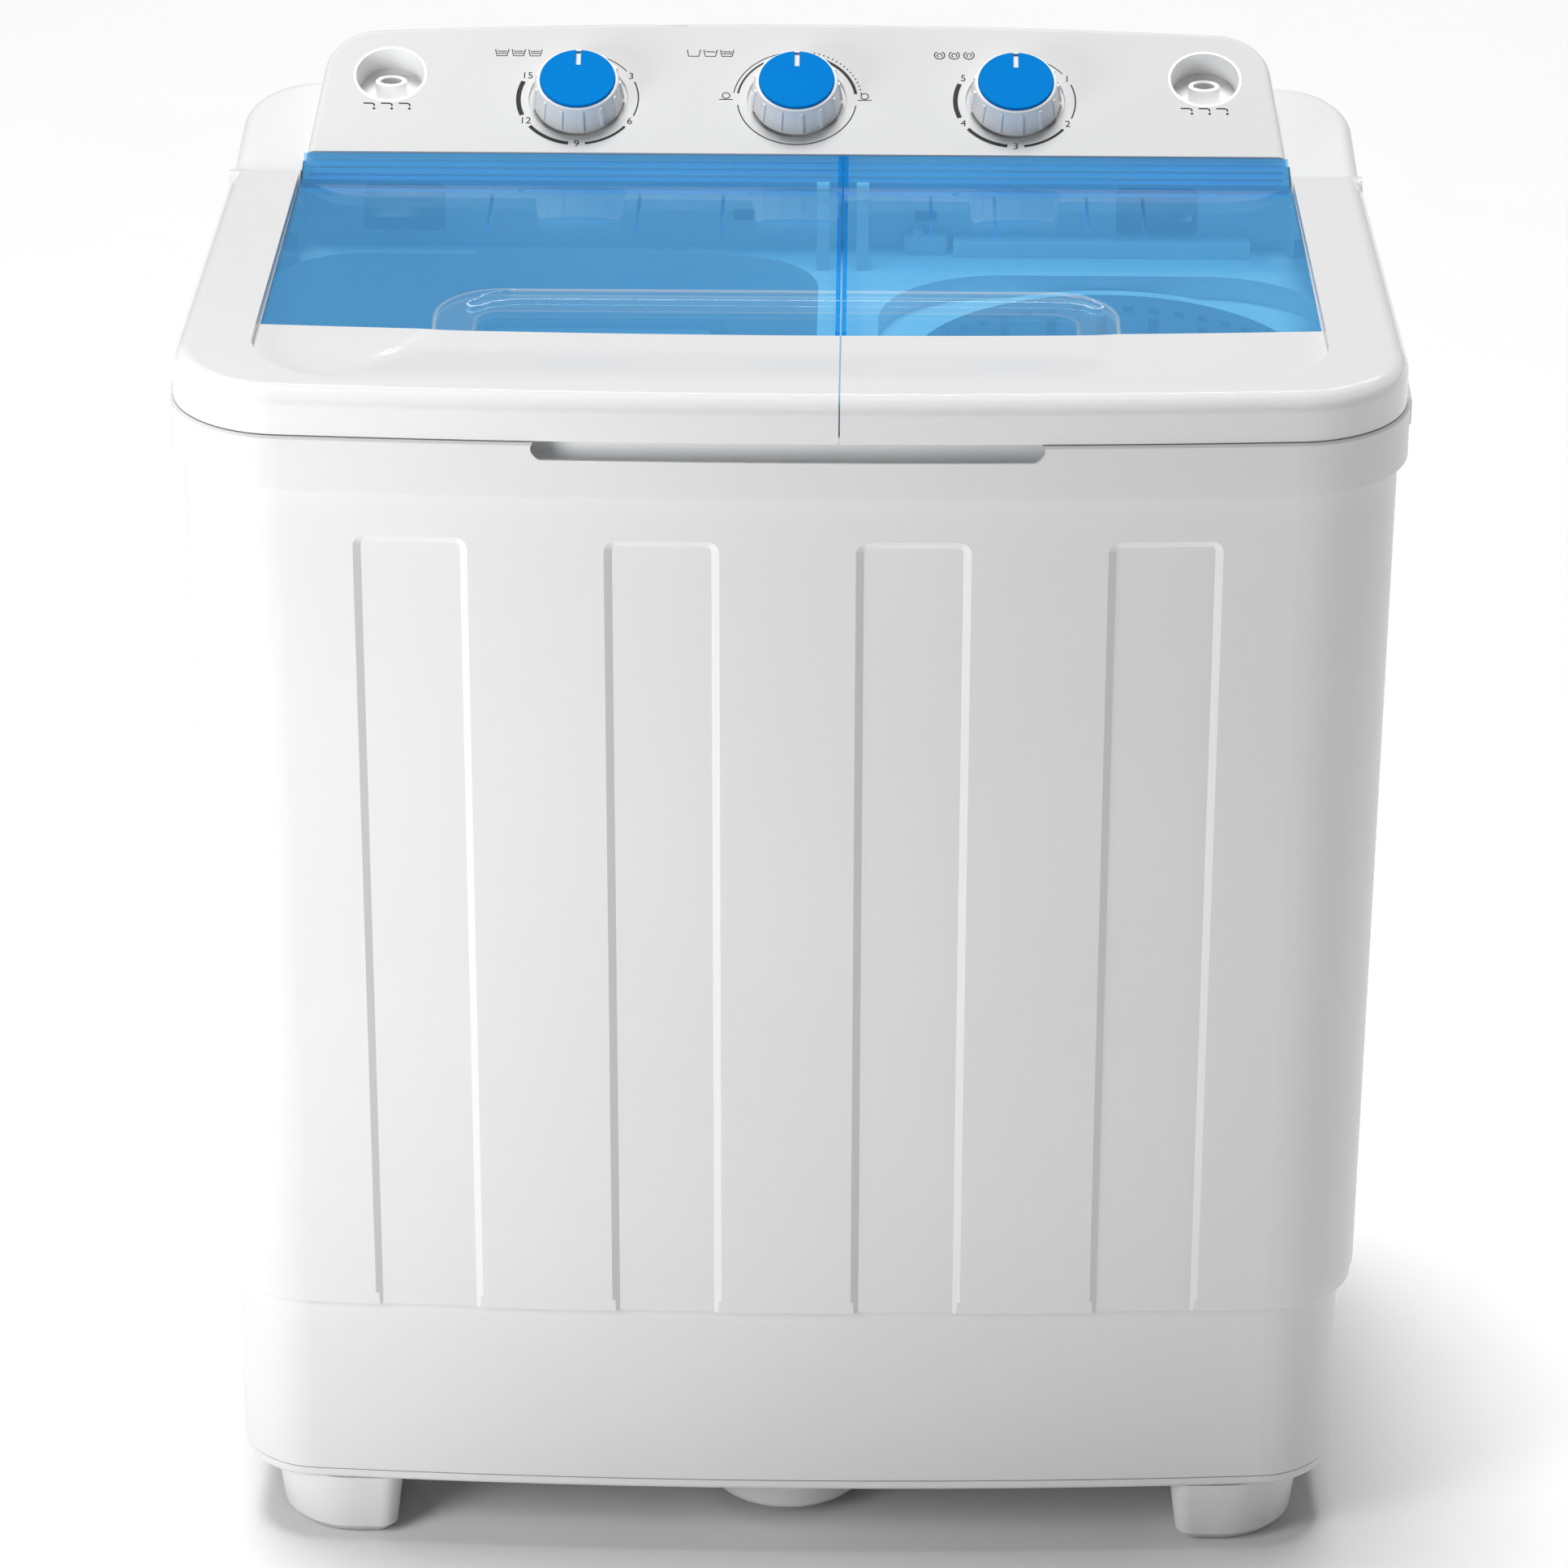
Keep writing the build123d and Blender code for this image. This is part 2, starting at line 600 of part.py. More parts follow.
# one moulding for both lid frames, cut apart at the seam afterwards
BAND_OUTER = 284.6
BAND_INNER = HALF_W - BAND - 8
with BuildPart() as lid_blank:
    extrude(plan(LID_BOTTOM, LID_INSET, LID_INSET), amount=50)
    split(bisect_by=lid_plane(), keep=Keep.BOTTOM)
    fillet(lid_blank.faces().sort_by(Axis.Z)[-1].edges(), LID_ROUND)
    split(bisect_by=Plane(origin=(0, LID_REAR, 0), z_dir=(0, 1, 0)), keep=Keep.BOTTOM)
    add(lid_sink_cut.part, mode=Mode.SUBTRACT)
    add(lid_hollow.part, mode=Mode.SUBTRACT)
    extrude(window_outline(LID_BOTTOM - 1, LID_REAR + 20), amount=60, mode=Mode.SUBTRACT)
    add(hinge_bar(-BAND_OUTER, -BAND_INNER, BARREL_R))
    add(hinge_bar(BAND_INNER, BAND_OUTER, BARREL_R))
    add(post_space.part, mode=Mode.SUBTRACT)

# each frame carries its outer hinge pin, and each window its inner one
for side, name in ((-1, "wash_lid_frame"), (1, "spin_lid_frame")):
    with BuildPart() as lid_frame:
        add(lid_blank.part)
        add(seam_keep(side), mode=Mode.INTERSECT)
        add(hinge_bar(POST_X[side][1] - PIN_HALF, POST_X[side][1] + PIN_HALF, PIN_R))
    save(lid_frame, name)

# the two windows, with an upturned lip at the rear, ribs under it and ribs along the seam
LIP_ANGLE = atan2(LIP_END[1] - LIP_START[1], LIP_END[0] - LIP_START[0])
LIP_RIBS = (10.0, 15.3, 20.5)      # how far up the lip each cross rib stands
with BuildPart() as window_blank:
    extrude(window_outline(LID_BOTTOM, LID_REAR), amount=60)
    split(bisect_by=lid_plane(LID_SINK), keep=Keep.BOTTOM)
    split(bisect_by=lid_plane(LID_SINK + LID_SKIN), keep=Keep.TOP)
    add(hinge_bar(-BAND_INNER + 0.5, BAND_INNER - 0.5, RAIL_R))
    with BuildSketch(Plane.YZ.offset(-LIP_HALF)) as lip:
        with BuildLine():
            Polyline(
                LIP_START,
                LIP_END,
                (LIP_END[0] + LIP_THICK * sin(LIP_ANGLE), LIP_END[1] - LIP_THICK * cos(LIP_ANGLE)),
                (LIP_START[0] + LIP_THICK * sin(LIP_ANGLE), LIP_START[1] - LIP_THICK * cos(LIP_ANGLE)),
                close=True,
            )
        make_face()
    extrude(amount=2 * LIP_HALF)
    for along in LIP_RIBS:
        with BuildSketch(slope_plane(*LIP_START, *LIP_END, LIP_THICK / 2)) as rib:
            with Locations((0, along)):
                Rectangle(2 * LIP_HALF - 6, 1.6)
        extrude(amount=-3.6)
    for x in (-152.0, -78.0, -36.0, 68.0, 100.0, 146.0, 174.0):
        with BuildSketch(slope_plane(-181.0, LID_FRONT_TOP, LID_REAR, LID_REAR_TOP, LID_SINK + 2)) as rib:
            with Locations((x, 62 + 181)):
                Rectangle(1.6, 42)
        extrude(amount=-6)
    for side in (-1, 1):
        with BuildSketch(slope_plane(-181.0, LID_FRONT_TOP, LID_REAR, LID_REAR_TOP, LID_SINK + 2)) as rib:
            with Locations((LID_SEAM_X + side * 1.6, 181 - 6)):
                Rectangle(1.8, 160)
        extrude(amount=-6)
    add(post_space.part, mode=Mode.SUBTRACT)

for side, name in ((-1, "wash_lid_window"), (1, "spin_lid_window")):
    with BuildPart() as lid_window:
        add(window_blank.part)
        add(seam_keep(side), mode=Mode.INTERSECT)
        add(hinge_bar(POST_X[side][0] - PIN_HALF, POST_X[side][0] + PIN_HALF, PIN_R))
    save(lid_window, name)

# posts that carry the lids, standing on the deck and hidden under the closed lids
with BuildPart() as lid_hinge_posts:
    for side in (-1, 1):
        for x in POST_X[side]:
            with BuildSketch(Plane.YZ.offset(x - POST_WIDTH / 2)) as post:
                with BuildLine():
                    Polyline(
                        (HINGE_Y - 13, DECK_TOP),
                        (HINGE_Y - 2, DECK_TOP),
                        (HINGE_Y + 2, HINGE_Z),
                        (HINGE_Y - EYE_R, HINGE_Z),
                        close=True,
                    )
                make_face()
                with Locations((HINGE_Y, HINGE_Z)):
                    Circle(EYE_R)
                    Circle(PIN_R + FIT, mode=Mode.SUBTRACT)
            extrude(amount=POST_WIDTH)
save(lid_hinge_posts, "lid_hinge_posts")

# ---------------------------------------------------------------- control box and panel
PANEL_FLARE = 8.0        # the panel's sides lean out by this angle on their way down
FACE_BOW = 4.0           # the middle of the face's upper edge rises, and its ends drop
FACE_ENDS_DROP = 3.4
INLET_ALONG = 0.66       # places up the face, as a share of its length
KNOB_ALONG = 0.5
INLET_R = 19.0
INLET_WALL = 1.6
BUSH_R = 5.0
CHUTE_X = (-198.5, 183.0)
CHUTE_Z = 623.5
CHUTE_SIZE = (41.0, 25.0)
CHUTE_WALL = 1.7
CHUTE_CORNER = 3.5
CHUTE_LENGTH = 14.0
WALL_SLOT_X = (-26.0, 66.0)
WALL_SLOT_Z = 620.5


def panel_block(inset, front):
    """Wedge under the control face, cut off at its front and its back."""
    with BuildPart() as wedge:
        with BuildSketch(face_plane(0, 0, -inset)) as face:
            with BuildLine():
                Polyline(
                    (-FACE_HALF_HIGH + inset, FACE_LENGTH - FACE_ENDS_DROP - inset),
                    (-FACE_HALF_LOW + inset, -8),
                    (FACE_HALF_LOW - inset, -8),
                    (FACE_HALF_HIGH - inset, FACE_LENGTH - FACE_ENDS_DROP - inset),
                )
                ThreePointArc(
                    (-FACE_HALF_HIGH + inset, FACE_LENGTH - FACE_ENDS_DROP - inset),
                    (0, FACE_LENGTH + FACE_BOW - inset),
                    (FACE_HALF_HIGH - inset, FACE_LENGTH - FACE_ENDS_DROP - inset),
                )
            make_face()
            fillet(face.vertices().group_by(Axis.Y)[-1], FACE_CORNER - inset)
        extrude(amount=-75, taper=-PANEL_FLARE)
        if inset == 0:
            fillet(wedge.faces().sort_by(Axis.Z)[-1].edges(), 4)
        split(bisect_by=Plane(origin=(0, front, 0), z_dir=(0, 1, 0)), keep=Keep.TOP)
        split(bisect_by=Plane(origin=(0, REAR - inset, 0), z_dir=(0, 1, 0)), keep=Keep.BOTTOM)
    return wedge.part


with BuildPart() as control_panel:
    add(panel_block(0, BOX_FRONT))
    add(panel_block(WALL, RECESS_BACK + WALL), mode=Mode.SUBTRACT)
    split(bisect_by=shoulder_plane(), keep=Keep.TOP)
    # scooped front, so that the windows' lips swing clear
    add(hinge_bar(-RECESS_HALF, RECESS_HALF, SWING_R), mode=Mode.SUBTRACT)
    # shallow well and shaft hole for each knob
    for x in (-KNOB_X, 0, KNOB_X):
        with BuildSketch(face_plane(x, KNOB_ALONG)) as well:
            Circle(WELL_R)
        extrude(amount=-WELL_DEPTH, taper=20, mode=Mode.SUBTRACT)
        with BuildSketch(face_plane(x, KNOB_ALONG)) as shaft_hole:
            Circle(BUSH_R)
        extrude(amount=-10, mode=Mode.SUBTRACT)
    for x in (-INLET_X, INLET_X):
        with BuildSketch(face_plane(x, INLET_ALONG, 2)) as inlet_hole:
            Circle(INLET_R)
        extrude(amount=-12, mode=Mode.SUBTRACT)
save(control_panel, "control_panel")

with BuildPart() as box_hollow:
    extrude(plan(RIM_TOP, LID_INSET + WALL, 0, WALL), amount=70)
    split(bisect_by=shoulder_plane(WALL), keep=Keep.BOTTOM)
    split(bisect_by=Plane(origin=(0, SHOULDER_FRONT + WALL, 0), z_dir=(0, 1, 0)), keep=Keep.TOP)

# walls of the recess behind the windows, from the deck up to the panel
with BuildPart() as recess_walls:
    with BuildSketch(Plane.XY.offset(DECK_TOP)) as walls:
        with Locations((0, (SHOULDER_FRONT + RECESS_BACK + WALL) / 2)):
            Rectangle(2 * (RECESS_HALF + WALL), RECESS_BACK + WALL - SHOULDER_FRONT)
        with Locations((0, SHOULDER_FRONT)):
            Rectangle(2 * RECESS_HALF, 2 * (RECESS_BACK - SHOULDER_FRONT), mode=Mode.SUBTRACT)
    extrude(amount=SHOULDER_REAR_Z - DECK_TOP)
    split(bisect_by=shoulder_plane(), keep=Keep.BOTTOM)

with BuildPart() as control_box:
    extrude(plan(RIM_TOP, LID_INSET, 0, 0.4), amount=70)
    split(bisect_by=shoulder_plane(), keep=Keep.BOTTOM)
    fillet(control_box.faces().sort_by(Axis.Z)[-1].edges(), 7)
    split(bisect_by=Plane(origin=(0, SHOULDER_FRONT, 0), z_dir=(0, 1, 0)), keep=Keep.TOP)
    add(box_hollow.part, mode=Mode.SUBTRACT)
    with Locations((0, SHOULDER_FRONT, SHOULDER_FRONT_Z)):
        Box(2 * RECESS_HALF, 2 * (RECESS_BACK - SHOULDER_FRONT), 100, mode=Mode.SUBTRACT)
    add(recess_walls.part)
    # openings for the water chutes, and two slots
    with BuildSketch(Plane.XZ.offset(-RECESS_BACK + 1)) as wall_holes:
        for x in CHUTE_X:
            with Locations((x, CHUTE_Z)):
                RectangleRounded(CHUTE_SIZE[0] + 0.2, CHUTE_SIZE[1] + 0.2, CHUTE_CORNER + 0.1)
        for x in WALL_SLOT_X:
            with Locations((x, WALL_SLOT_Z)):
                Rectangle(11, 6)
    extrude(amount=-10, mode=Mode.SUBTRACT)
    # opening under the panel
    with BuildSketch(Plane.XY.offset(RIM_TOP)) as under_panel:
        with Locations((0, (RECESS_BACK + WALL + REAR - 8) / 2)):
            RectangleRounded(470, REAR - 8 - RECESS_BACK - WALL, 10)
    extrude(amount=70, mode=Mode.SUBTRACT)
save(control_box, "control_box")

# ---------------------------------------------------------------- knobs and the switches behind them
KNOB_BASE = KNOB_GAP - WELL_DEPTH
KNOB_TOP = KNOB_BASE + KNOB_HEIGHT
GRIPS = 13
CAP_THICK = 2.5
CAP_SEAT = 1.2           # how deep the cap sits in the knob
SKIRT_WALL = 2.0
SHAFT_LOW, SHAFT_HIGH = -24.0, 8.0


def cone(x, low, high, r_low, r_high):
    """Frustum standing on the control face at a knob's place."""
    sections = []
    for lift, radius in ((low, r_low), (high, r_high)):
        with BuildSketch(face_plane(x, KNOB_ALONG, lift)) as section:
            Circle(radius)
        sections.append(section.sketch)
    with BuildPart() as frustum:
        loft(sections, ruled=True)
    return frustum.part


def knob(x):
    """Ribbed hollow knob with a seat for its coloured cap and a stem for the shaft."""
    with BuildPart() as grips:
        with BuildSketch(face_plane(x, KNOB_ALONG, KNOB_BASE + 1.5)) as ridges:
            with PolarLocations(KNOB_R_BASE - 1.5, GRIPS):
                Rectangle(5.0, 1.6)
        extrude(amount=KNOB_HEIGHT - 3.5)
        add(cone(x, KNOB_BASE, KNOB_TOP, KNOB_R_BASE + 0.9, KNOB_R_TOP + 0.9), mode=Mode.INTERSECT)
    with BuildPart() as body:
        add(cone(x, KNOB_BASE, KNOB_TOP, KNOB_R_BASE, KNOB_R_TOP))
        fillet(body.edges().sort_by(Axis.Z)[-1], 1.5)
        add(grips.part)
        add(
            cone(x, KNOB_BASE, KNOB_TOP - 5, KNOB_R_BASE - SKIRT_WALL, KNOB_R_TOP - SKIRT_WALL),
            mode=Mode.SUBTRACT,
        )
        add(cone(x, KNOB_BASE + 1, KNOB_TOP - 3, 6.0, 6.0))
        add(cone(x, KNOB_BASE - 1, SHAFT_HIGH, SHAFT_R, SHAFT_R), mode=Mode.SUBTRACT)
        add(cone(x, KNOB_TOP - CAP_SEAT, KNOB_TOP + 1, CAP_R + 0.1, CAP_R + 0.1), mode=Mode.SUBTRACT)
    return body.part


def knob_cap(x):
    """Coloured disc with a pointer slot at its upper edge, through which the knob shows."""
    with BuildPart() as cap:
        add(cone(x, KNOB_TOP - CAP_SEAT, KNOB_TOP - CAP_SEAT + CAP_THICK, CAP_R, CAP_R))
        fillet(cap.edges().sort_by(Axis.Z)[-1], 0.8)
        with BuildSketch(face_plane(x, KNOB_ALONG, KNOB_TOP - CAP_SEAT)) as pointer:
            with Locations((0, CAP_R - 5)):
                Rectangle(2.6, 11)
        extrude(amount=CAP_THICK + 1, mode=Mode.SUBTRACT)
    return cap.part


def switch_module(x, width, depth):
    """Clockwork timer or rotary switch under the panel: its block, threaded bush and mounting ears."""
    with BuildPart() as module:
        with BuildSketch(face_plane(x, KNOB_ALONG, -WALL - 1.2)) as block:
            RectangleRounded(width, 38, 4)
            with GridLocations(width + 4, 0, 2, 1):
                SlotOverall(16, 8, rotation=0)
        extrude(block.sketch, amount=-2)
        with BuildSketch(face_plane(x, KNOB_ALONG, -WALL - 3.0)) as case:
            RectangleRounded(width, 38, 4)
        extrude(amount=-depth)
        with BuildSketch(face_plane(x, KNOB_ALONG, -WALL - 2)) as bush:
            Circle(BUSH_R - 0.3)
        extrude(amount=WALL + 0.3)
        add(cone(x, SHAFT_LOW - 0.5, 2, SHAFT_R + FIT, SHAFT_R + FIT), mode=Mode.SUBTRACT)
    return module.part


CONTROLS = (("wash_timer", -KNOB_X, 48, 30), ("selector", 0.0, 40, 24), ("spin_timer", KNOB_X, 48, 30))
for name, x, width, depth in CONTROLS:
    for piece, made in (
        ("knob", knob(x)),
        ("cap", knob_cap(x)),
        ("shaft", cone(x, SHAFT_LOW, SHAFT_HIGH, SHAFT_R, SHAFT_R)),
        ("module", switch_module(x, width, depth)),
    ):
        with BuildPart() as control:
            add(made)
        save(control, f"{name}_{piece}")

# ---------------------------------------------------------------- water inlets and chutes
CUP_DEPTH = 16.0
SPIGOT_R, SPIGOT_BORE = 8.0, 5.5
SPIGOT_TOP, SPIGOT_LOW = 674.5, 636.0


def water_inlet(x):
    """Cup set into the control face, with an upright spigot for the fill hose."""
    middle = face_plane(x, INLET_ALONG).origin
    with BuildPart() as inlet:
        with BuildSketch(face_plane(x, INLET_ALONG)) as cup:
            Circle(INLET_R - 0.1)
        extrude(amount=-CUP_DEPTH, taper=3)
        fillet(inlet.edges().sort_by(Axis.Z)[0], 4)
        with BuildSketch(face_plane(x, INLET_ALONG)) as well:
            Circle(INLET_R - INLET_WALL)
        extrude(amount=-CUP_DEPTH + 2, taper=3, mode=Mode.SUBTRACT)
        with BuildSketch(Plane.XY.offset(SPIGOT_LOW)) as tube:
            with Locations((x, middle.Y + 6)):
                Circle(SPIGOT_R)
        extrude(amount=SPIGOT_TOP - SPIGOT_LOW)
        with BuildSketch(Plane.XY.offset(SPIGOT_LOW - 1)) as bore:
            with Locations((x, middle.Y + 6)):
                Circle(SPIGOT_BORE)
        extrude(amount=SPIGOT_TOP - SPIGOT_LOW + 2, mode=Mode.SUBTRACT)
        chamfer(inlet.edges().filter_by_position(Axis.Z, SPIGOT_TOP - 0.01, SPIGOT_TOP + 0.01), 0.6)
    return inlet.part


for name, x in (("water_inlet_left", -INLET_X), ("water_inlet_right", INLET_X)):
    with BuildPart() as inlet_piece:
        add(water_inlet(x))
    save(inlet_piece, name)

# channels that lead the inlet water through the wall behind the windows
with BuildPart() as water_chutes:
    for x in CHUTE_X:
        with BuildSketch(Plane.XZ.offset(-RECESS_BACK + 0.5)) as chute:
            with Locations((x, CHUTE_Z)):
                RectangleRounded(*CHUTE_SIZE, CHUTE_CORNER)
                RectangleRounded(
                    CHUTE_SIZE[0] - 2 * CHUTE_WALL,
                    CHUTE_SIZE[1] - 2 * CHUTE_WALL,
                    CHUTE_CORNER - CHUTE_WALL,
                    mode=Mode.SUBTRACT,
                )
        extrude(amount=-CHUTE_LENGTH)
save(water_chutes, "water_chutes")

# ---------------------------------------------------------------- wash drive
SHAFT_WASH_R = 6.0
GEARBOX_TOP = WASH_FLOOR - 14.0
GEARBOX_LOW = 92.0
PULSATOR_LOW = WASH_FLOOR + WALL + 4.0


def wash_axis_circle(z, radius):
    with BuildSketch(Plane.XY.offset(z)) as disc:
        with Locations((PULSATOR_X, PULSATOR_Y)):
            Circle(radius)
    return disc.sketch


with BuildPart() as pulsator:
    add(
        turned(
            [
                (0, PULSATOR_LOW),
                (PULSATOR_R - 3, PULSATOR_LOW),
                (PULSATOR_R, PULSATOR_LOW + 3),
                (PULSATOR_R, PULSATOR_LOW + 5),
                (PULSATOR_R - 6, PULSATOR_LOW + 7),
                (30, PULSATOR_LOW + 12),
                (14, PULSATOR_LOW + 22),
                (10, PULSATOR_LOW + 25),
                (0, PULSATOR_LOW + 25),
            ],
            PULSATOR_X,
            PULSATOR_Y,
        )
    )
    # three curved vanes and a ring of drain holes
    with BuildSketch(Plane.XY.offset(PULSATOR_LOW + 4)) as vanes:
        with Locations((PULSATOR_X, PULSATOR_Y)):
            with PolarLocations(49, 3):
                SlotOverall(56, 12)
    extrude(amount=15)
    with BuildSketch(Plane.XY.offset(PULSATOR_LOW - 1)) as pulsator_holes:
        with Locations((PULSATOR_X, PULSATOR_Y)):
            for radius in (50, 66):
                with PolarLocations(radius, 3, start_angle=40, angular_range=360):
                    Circle(3)
                with PolarLocations(radius, 3, start_angle=60, angular_range=360):
                    Circle(3)
                with PolarLocations(radius, 3, start_angle=80, angular_range=360):
                    Circle(3)
    extrude(amount=30, mode=Mode.SUBTRACT)
    extrude(wash_axis_circle(PULSATOR_LOW, SHAFT_WASH_R), amount=16, mode=Mode.SUBTRACT)
save(pulsator, "pulsator")

with BuildPart() as pulsator_shaft:
    extrude(wash_axis_circle(PULLEY_Z[0], SHAFT_WASH_R), amount=PULSATOR_LOW + 16 - PULLEY_Z[0])
save(pulsator_shaft, "pulsator_shaft")

with BuildPart() as pulsator_seal:
    extrude(wash_axis_circle(WASH_FLOOR - 13, 14.95), amount=15)
    extrude(wash_axis_circle(WASH_FLOOR - 13, SHAFT_WASH_R + FIT), amount=15, mode=Mode.SUBTRACT)
save(pulsator_seal, "pulsator_seal")

with BuildPart() as wash_gearbox:
    add(
        turned(
            [
                (SHAFT_WASH_R + FIT, GEARBOX_LOW),
                (26, GEARBOX_LOW),
                (30, GEARBOX_LOW + 4),
                (30, GEARBOX_LOW + 34),
                (44, GEARBOX_LOW + 42),
                (44, GEARBOX_LOW + 78),
                (38, GEARBOX_LOW + 84),
                (38, GEARBOX_TOP - 6),
                (58, GEARBOX_TOP - 6),
                (58, GEARBOX_TOP),
                (SHAFT_WASH_R + FIT, GEARBOX_TOP),
            ],
            PULSATOR_X,
            PULSATOR_Y,
        )
    )
    with BuildSketch(Plane.XY.offset(GEARBOX_TOP - 10)) as flange_holes:
        with Locations((PULSATOR_X, PULSATOR_Y)):
            with PolarLocations(49, 4, start_angle=45):
                Circle(3)
    extrude(amount=20, mode=Mode.SUBTRACT)
save(wash_gearbox, "wash_gearbox")


def pulley(x, y, radius, hub_radius, bore):
    """V-belt pulley: groove around the rim, thin web, hub with the shaft's bore."""
    low, high = PULLEY_Z
    mid = (low + high) / 2
    groove = BELT_THICK + 1.5
    inner = max(radius - 16, hub_radius + 1)
    return turned(
        [
            (bore, low),
            (hub_radius, low),
            (hub_radius, mid - 2.5),
            (inner, mid - 2.5),
            (inner + 2, low),
            (radius, low),
            (radius, low + 1.5),
            (radius - groove, mid - 3),
            (radius - groove, mid + 3),
            (radius, high - 1.5),
            (radius, high),
            (inner + 2, high),
            (inner, mid + 2.5),
            (hub_radius, mid + 2.5),
            (hub_radius, high),
            (bore, high),
        ],
        x,
        y,
    )


with BuildPart() as drive_pulley:
    add(pulley(PULSATOR_X, PULSATOR_Y, DRIVE_PULLEY_R, 16.0, SHAFT_WASH_R))
    with BuildSketch(Plane.XY.offset(PULLEY_Z[0] - 1)) as windows:
        with Locations((PULSATOR_X, PULSATOR_Y)):
            with PolarLocations(39, 6):
                Circle(10)
    extrude(amount=30, mode=Mode.SUBTRACT)
save(drive_pulley, "drive_pulley")

MOTOR_SHAFT_R = 5.0
with BuildPart() as motor_pulley:
    add(pulley(MOTOR_X, MOTOR_Y, MOTOR_PULLEY_R, 9.5, MOTOR_SHAFT_R))
save(motor_pulley, "motor_pulley")


def motor_axis_circle(z, radius):
    with BuildSketch(Plane.XY.offset(z)) as disc:
        with Locations((MOTOR_X, MOTOR_Y)):
            Circle(radius)
    return disc.sketch


with BuildPart() as motor_shaft:
    extrude(motor_axis_circle(PULLEY_Z[0], MOTOR_SHAFT_R), amount=96)
save(motor_shaft, "motor_shaft")

WASH_MOTOR_LOW, WASH_MOTOR_HIGH = 92.0, 176.0
with BuildPart() as wash_motor:
    add(
        turned(
            [
                (MOTOR_SHAFT_R + FIT, WASH_MOTOR_LOW),
                (38, WASH_MOTOR_LOW),
                (50, WASH_MOTOR_LOW + 12),
                (50, WASH_MOTOR_LOW + 24),
                (54, WASH_MOTOR_LOW + 24),
                (54, WASH_MOTOR_HIGH - 24),
                (50, WASH_MOTOR_HIGH - 24),
                (50, WASH_MOTOR_HIGH - 12),
                (38, WASH_MOTOR_HIGH),
                (0, WASH_MOTOR_HIGH),
                (0, PULLEY_Z[0] + 96.5),
                (MOTOR_SHAFT_R + FIT, PULLEY_Z[0] + 96.5),
            ],
            MOTOR_X,
            MOTOR_Y,
        )
    )
save(wash_motor, "wash_motor")

# bracket that hangs the wash motor under the wash tub's floor
BRACKET_TOP = WASH_FLOOR - 0.4
with BuildPart() as wash_motor_bracket:
    with BuildSketch(Plane.XY.offset(WASH_MOTOR_HIGH)) as plate:
        with Locations((MOTOR_X, MOTOR_Y)):
            RectangleRounded(124, 96, 12)
    extrude(amount=4)
    with BuildSketch(Plane.XY.offset(WASH_MOTOR_HIGH)) as posts:
        with Locations((-74, 26), (-74, 50), (-24, 36)):
            Circle(5)
    extrude(amount=BRACKET_TOP - WASH_MOTOR_HIGH)
save(wash_motor_bracket, "wash_motor_bracket")


def belt_loop(x_extra):
    """Outline of a belt around both pulleys, 'x_extra' outside the bottom of their grooves."""
    big = DRIVE_PULLEY_R - BELT_THICK - 1.5 + x_extra
    small = MOTOR_PULLEY_R - BELT_THICK - 1.5 + x_extra
    with BuildSketch(Plane.XY.offset((PULLEY_Z[0] + PULLEY_Z[1]) / 2 - 2.6)) as loop:
        with Locations((PULSATOR_X, PULSATOR_Y)):
            Circle(big)
        with Locations((MOTOR_X, MOTOR_Y)):
            Circle(small)
        make_hull()
    return loop.sketch


with BuildPart() as drive_belt:
    extrude(belt_loop(BELT_GAP + BELT_THICK), amount=5.2)
    extrude(belt_loop(BELT_GAP), amount=5.2, mode=Mode.SUBTRACT)
save(drive_belt, "drive_belt")

# ---------------------------------------------------------------- spin drive
SPIN_SHAFT_R = 6.0
SPIN_MOTOR_LOW, SPIN_MOTOR_HIGH = 62.0, 158.0
DRUM_LOW, DRUM_HIGH = 168.0, 188.0
DRUM_R = 42.0
with BuildPart() as spin_shaft:
    with BuildSketch(Plane.XY.offset(SPIN_MOTOR_LOW + 12)) as spin_section:
        with Locations((SPIN_X, SPIN_Y)):
            Circle(SPIN_SHAFT_R)
    extrude(amount=BASKET_FLOOR + 22 - SPIN_MOTOR_LOW - 12)
    with BuildSketch(Plane.XY.offset(BASKET_FLOOR)) as spin_boss:
        with Locations((SPIN_X, SPIN_Y)):
            Circle(9.0)
    extrude(amount=22)
save(spin_shaft, "spin_shaft")

with BuildPart() as brake_drum:
    add(
        turned(
            [
                (SPIN_SHAFT_R, DRUM_LOW),
                (14, DRUM_LOW),
                (14, DRUM_HIGH - 4),
                (DRUM_R - 3, DRUM_HIGH - 4),
                (DRUM_R - 3, DRUM_LOW),
                (DRUM_R, DRUM_LOW),
                (DRUM_R, DRUM_HIGH),
                (SPIN_SHAFT_R, DRUM_HIGH),
            ],
            SPIN_X,
            SPIN_Y,
        )
    )
save(brake_drum, "brake_drum")

with BuildPart() as spin_motor:
    add(
        turned(
            [
                (0, SPIN_MOTOR_LOW),
                (40, SPIN_MOTOR_LOW),
                (54, SPIN_MOTOR_LOW + 12),
                (54, SPIN_MOTOR_LOW + 26),
                (58, SPIN_MOTOR_LOW + 26),
                (58, SPIN_MOTOR_HIGH - 26),
                (54, SPIN_MOTOR_HIGH - 26),
                (54, SPIN_MOTOR_HIGH - 12),
                (40, SPIN_MOTOR_HIGH),
                (SPIN_SHAFT_R + FIT, SPIN_MOTOR_HIGH),
                (SPIN_SHAFT_R + FIT, SPIN_MOTOR_LOW + 11.5),
                (0, SPIN_MOTOR_LOW + 11.5),
            ],
            SPIN_X,
            SPIN_Y,
        )
    )
save(spin_motor, "spin_motor")

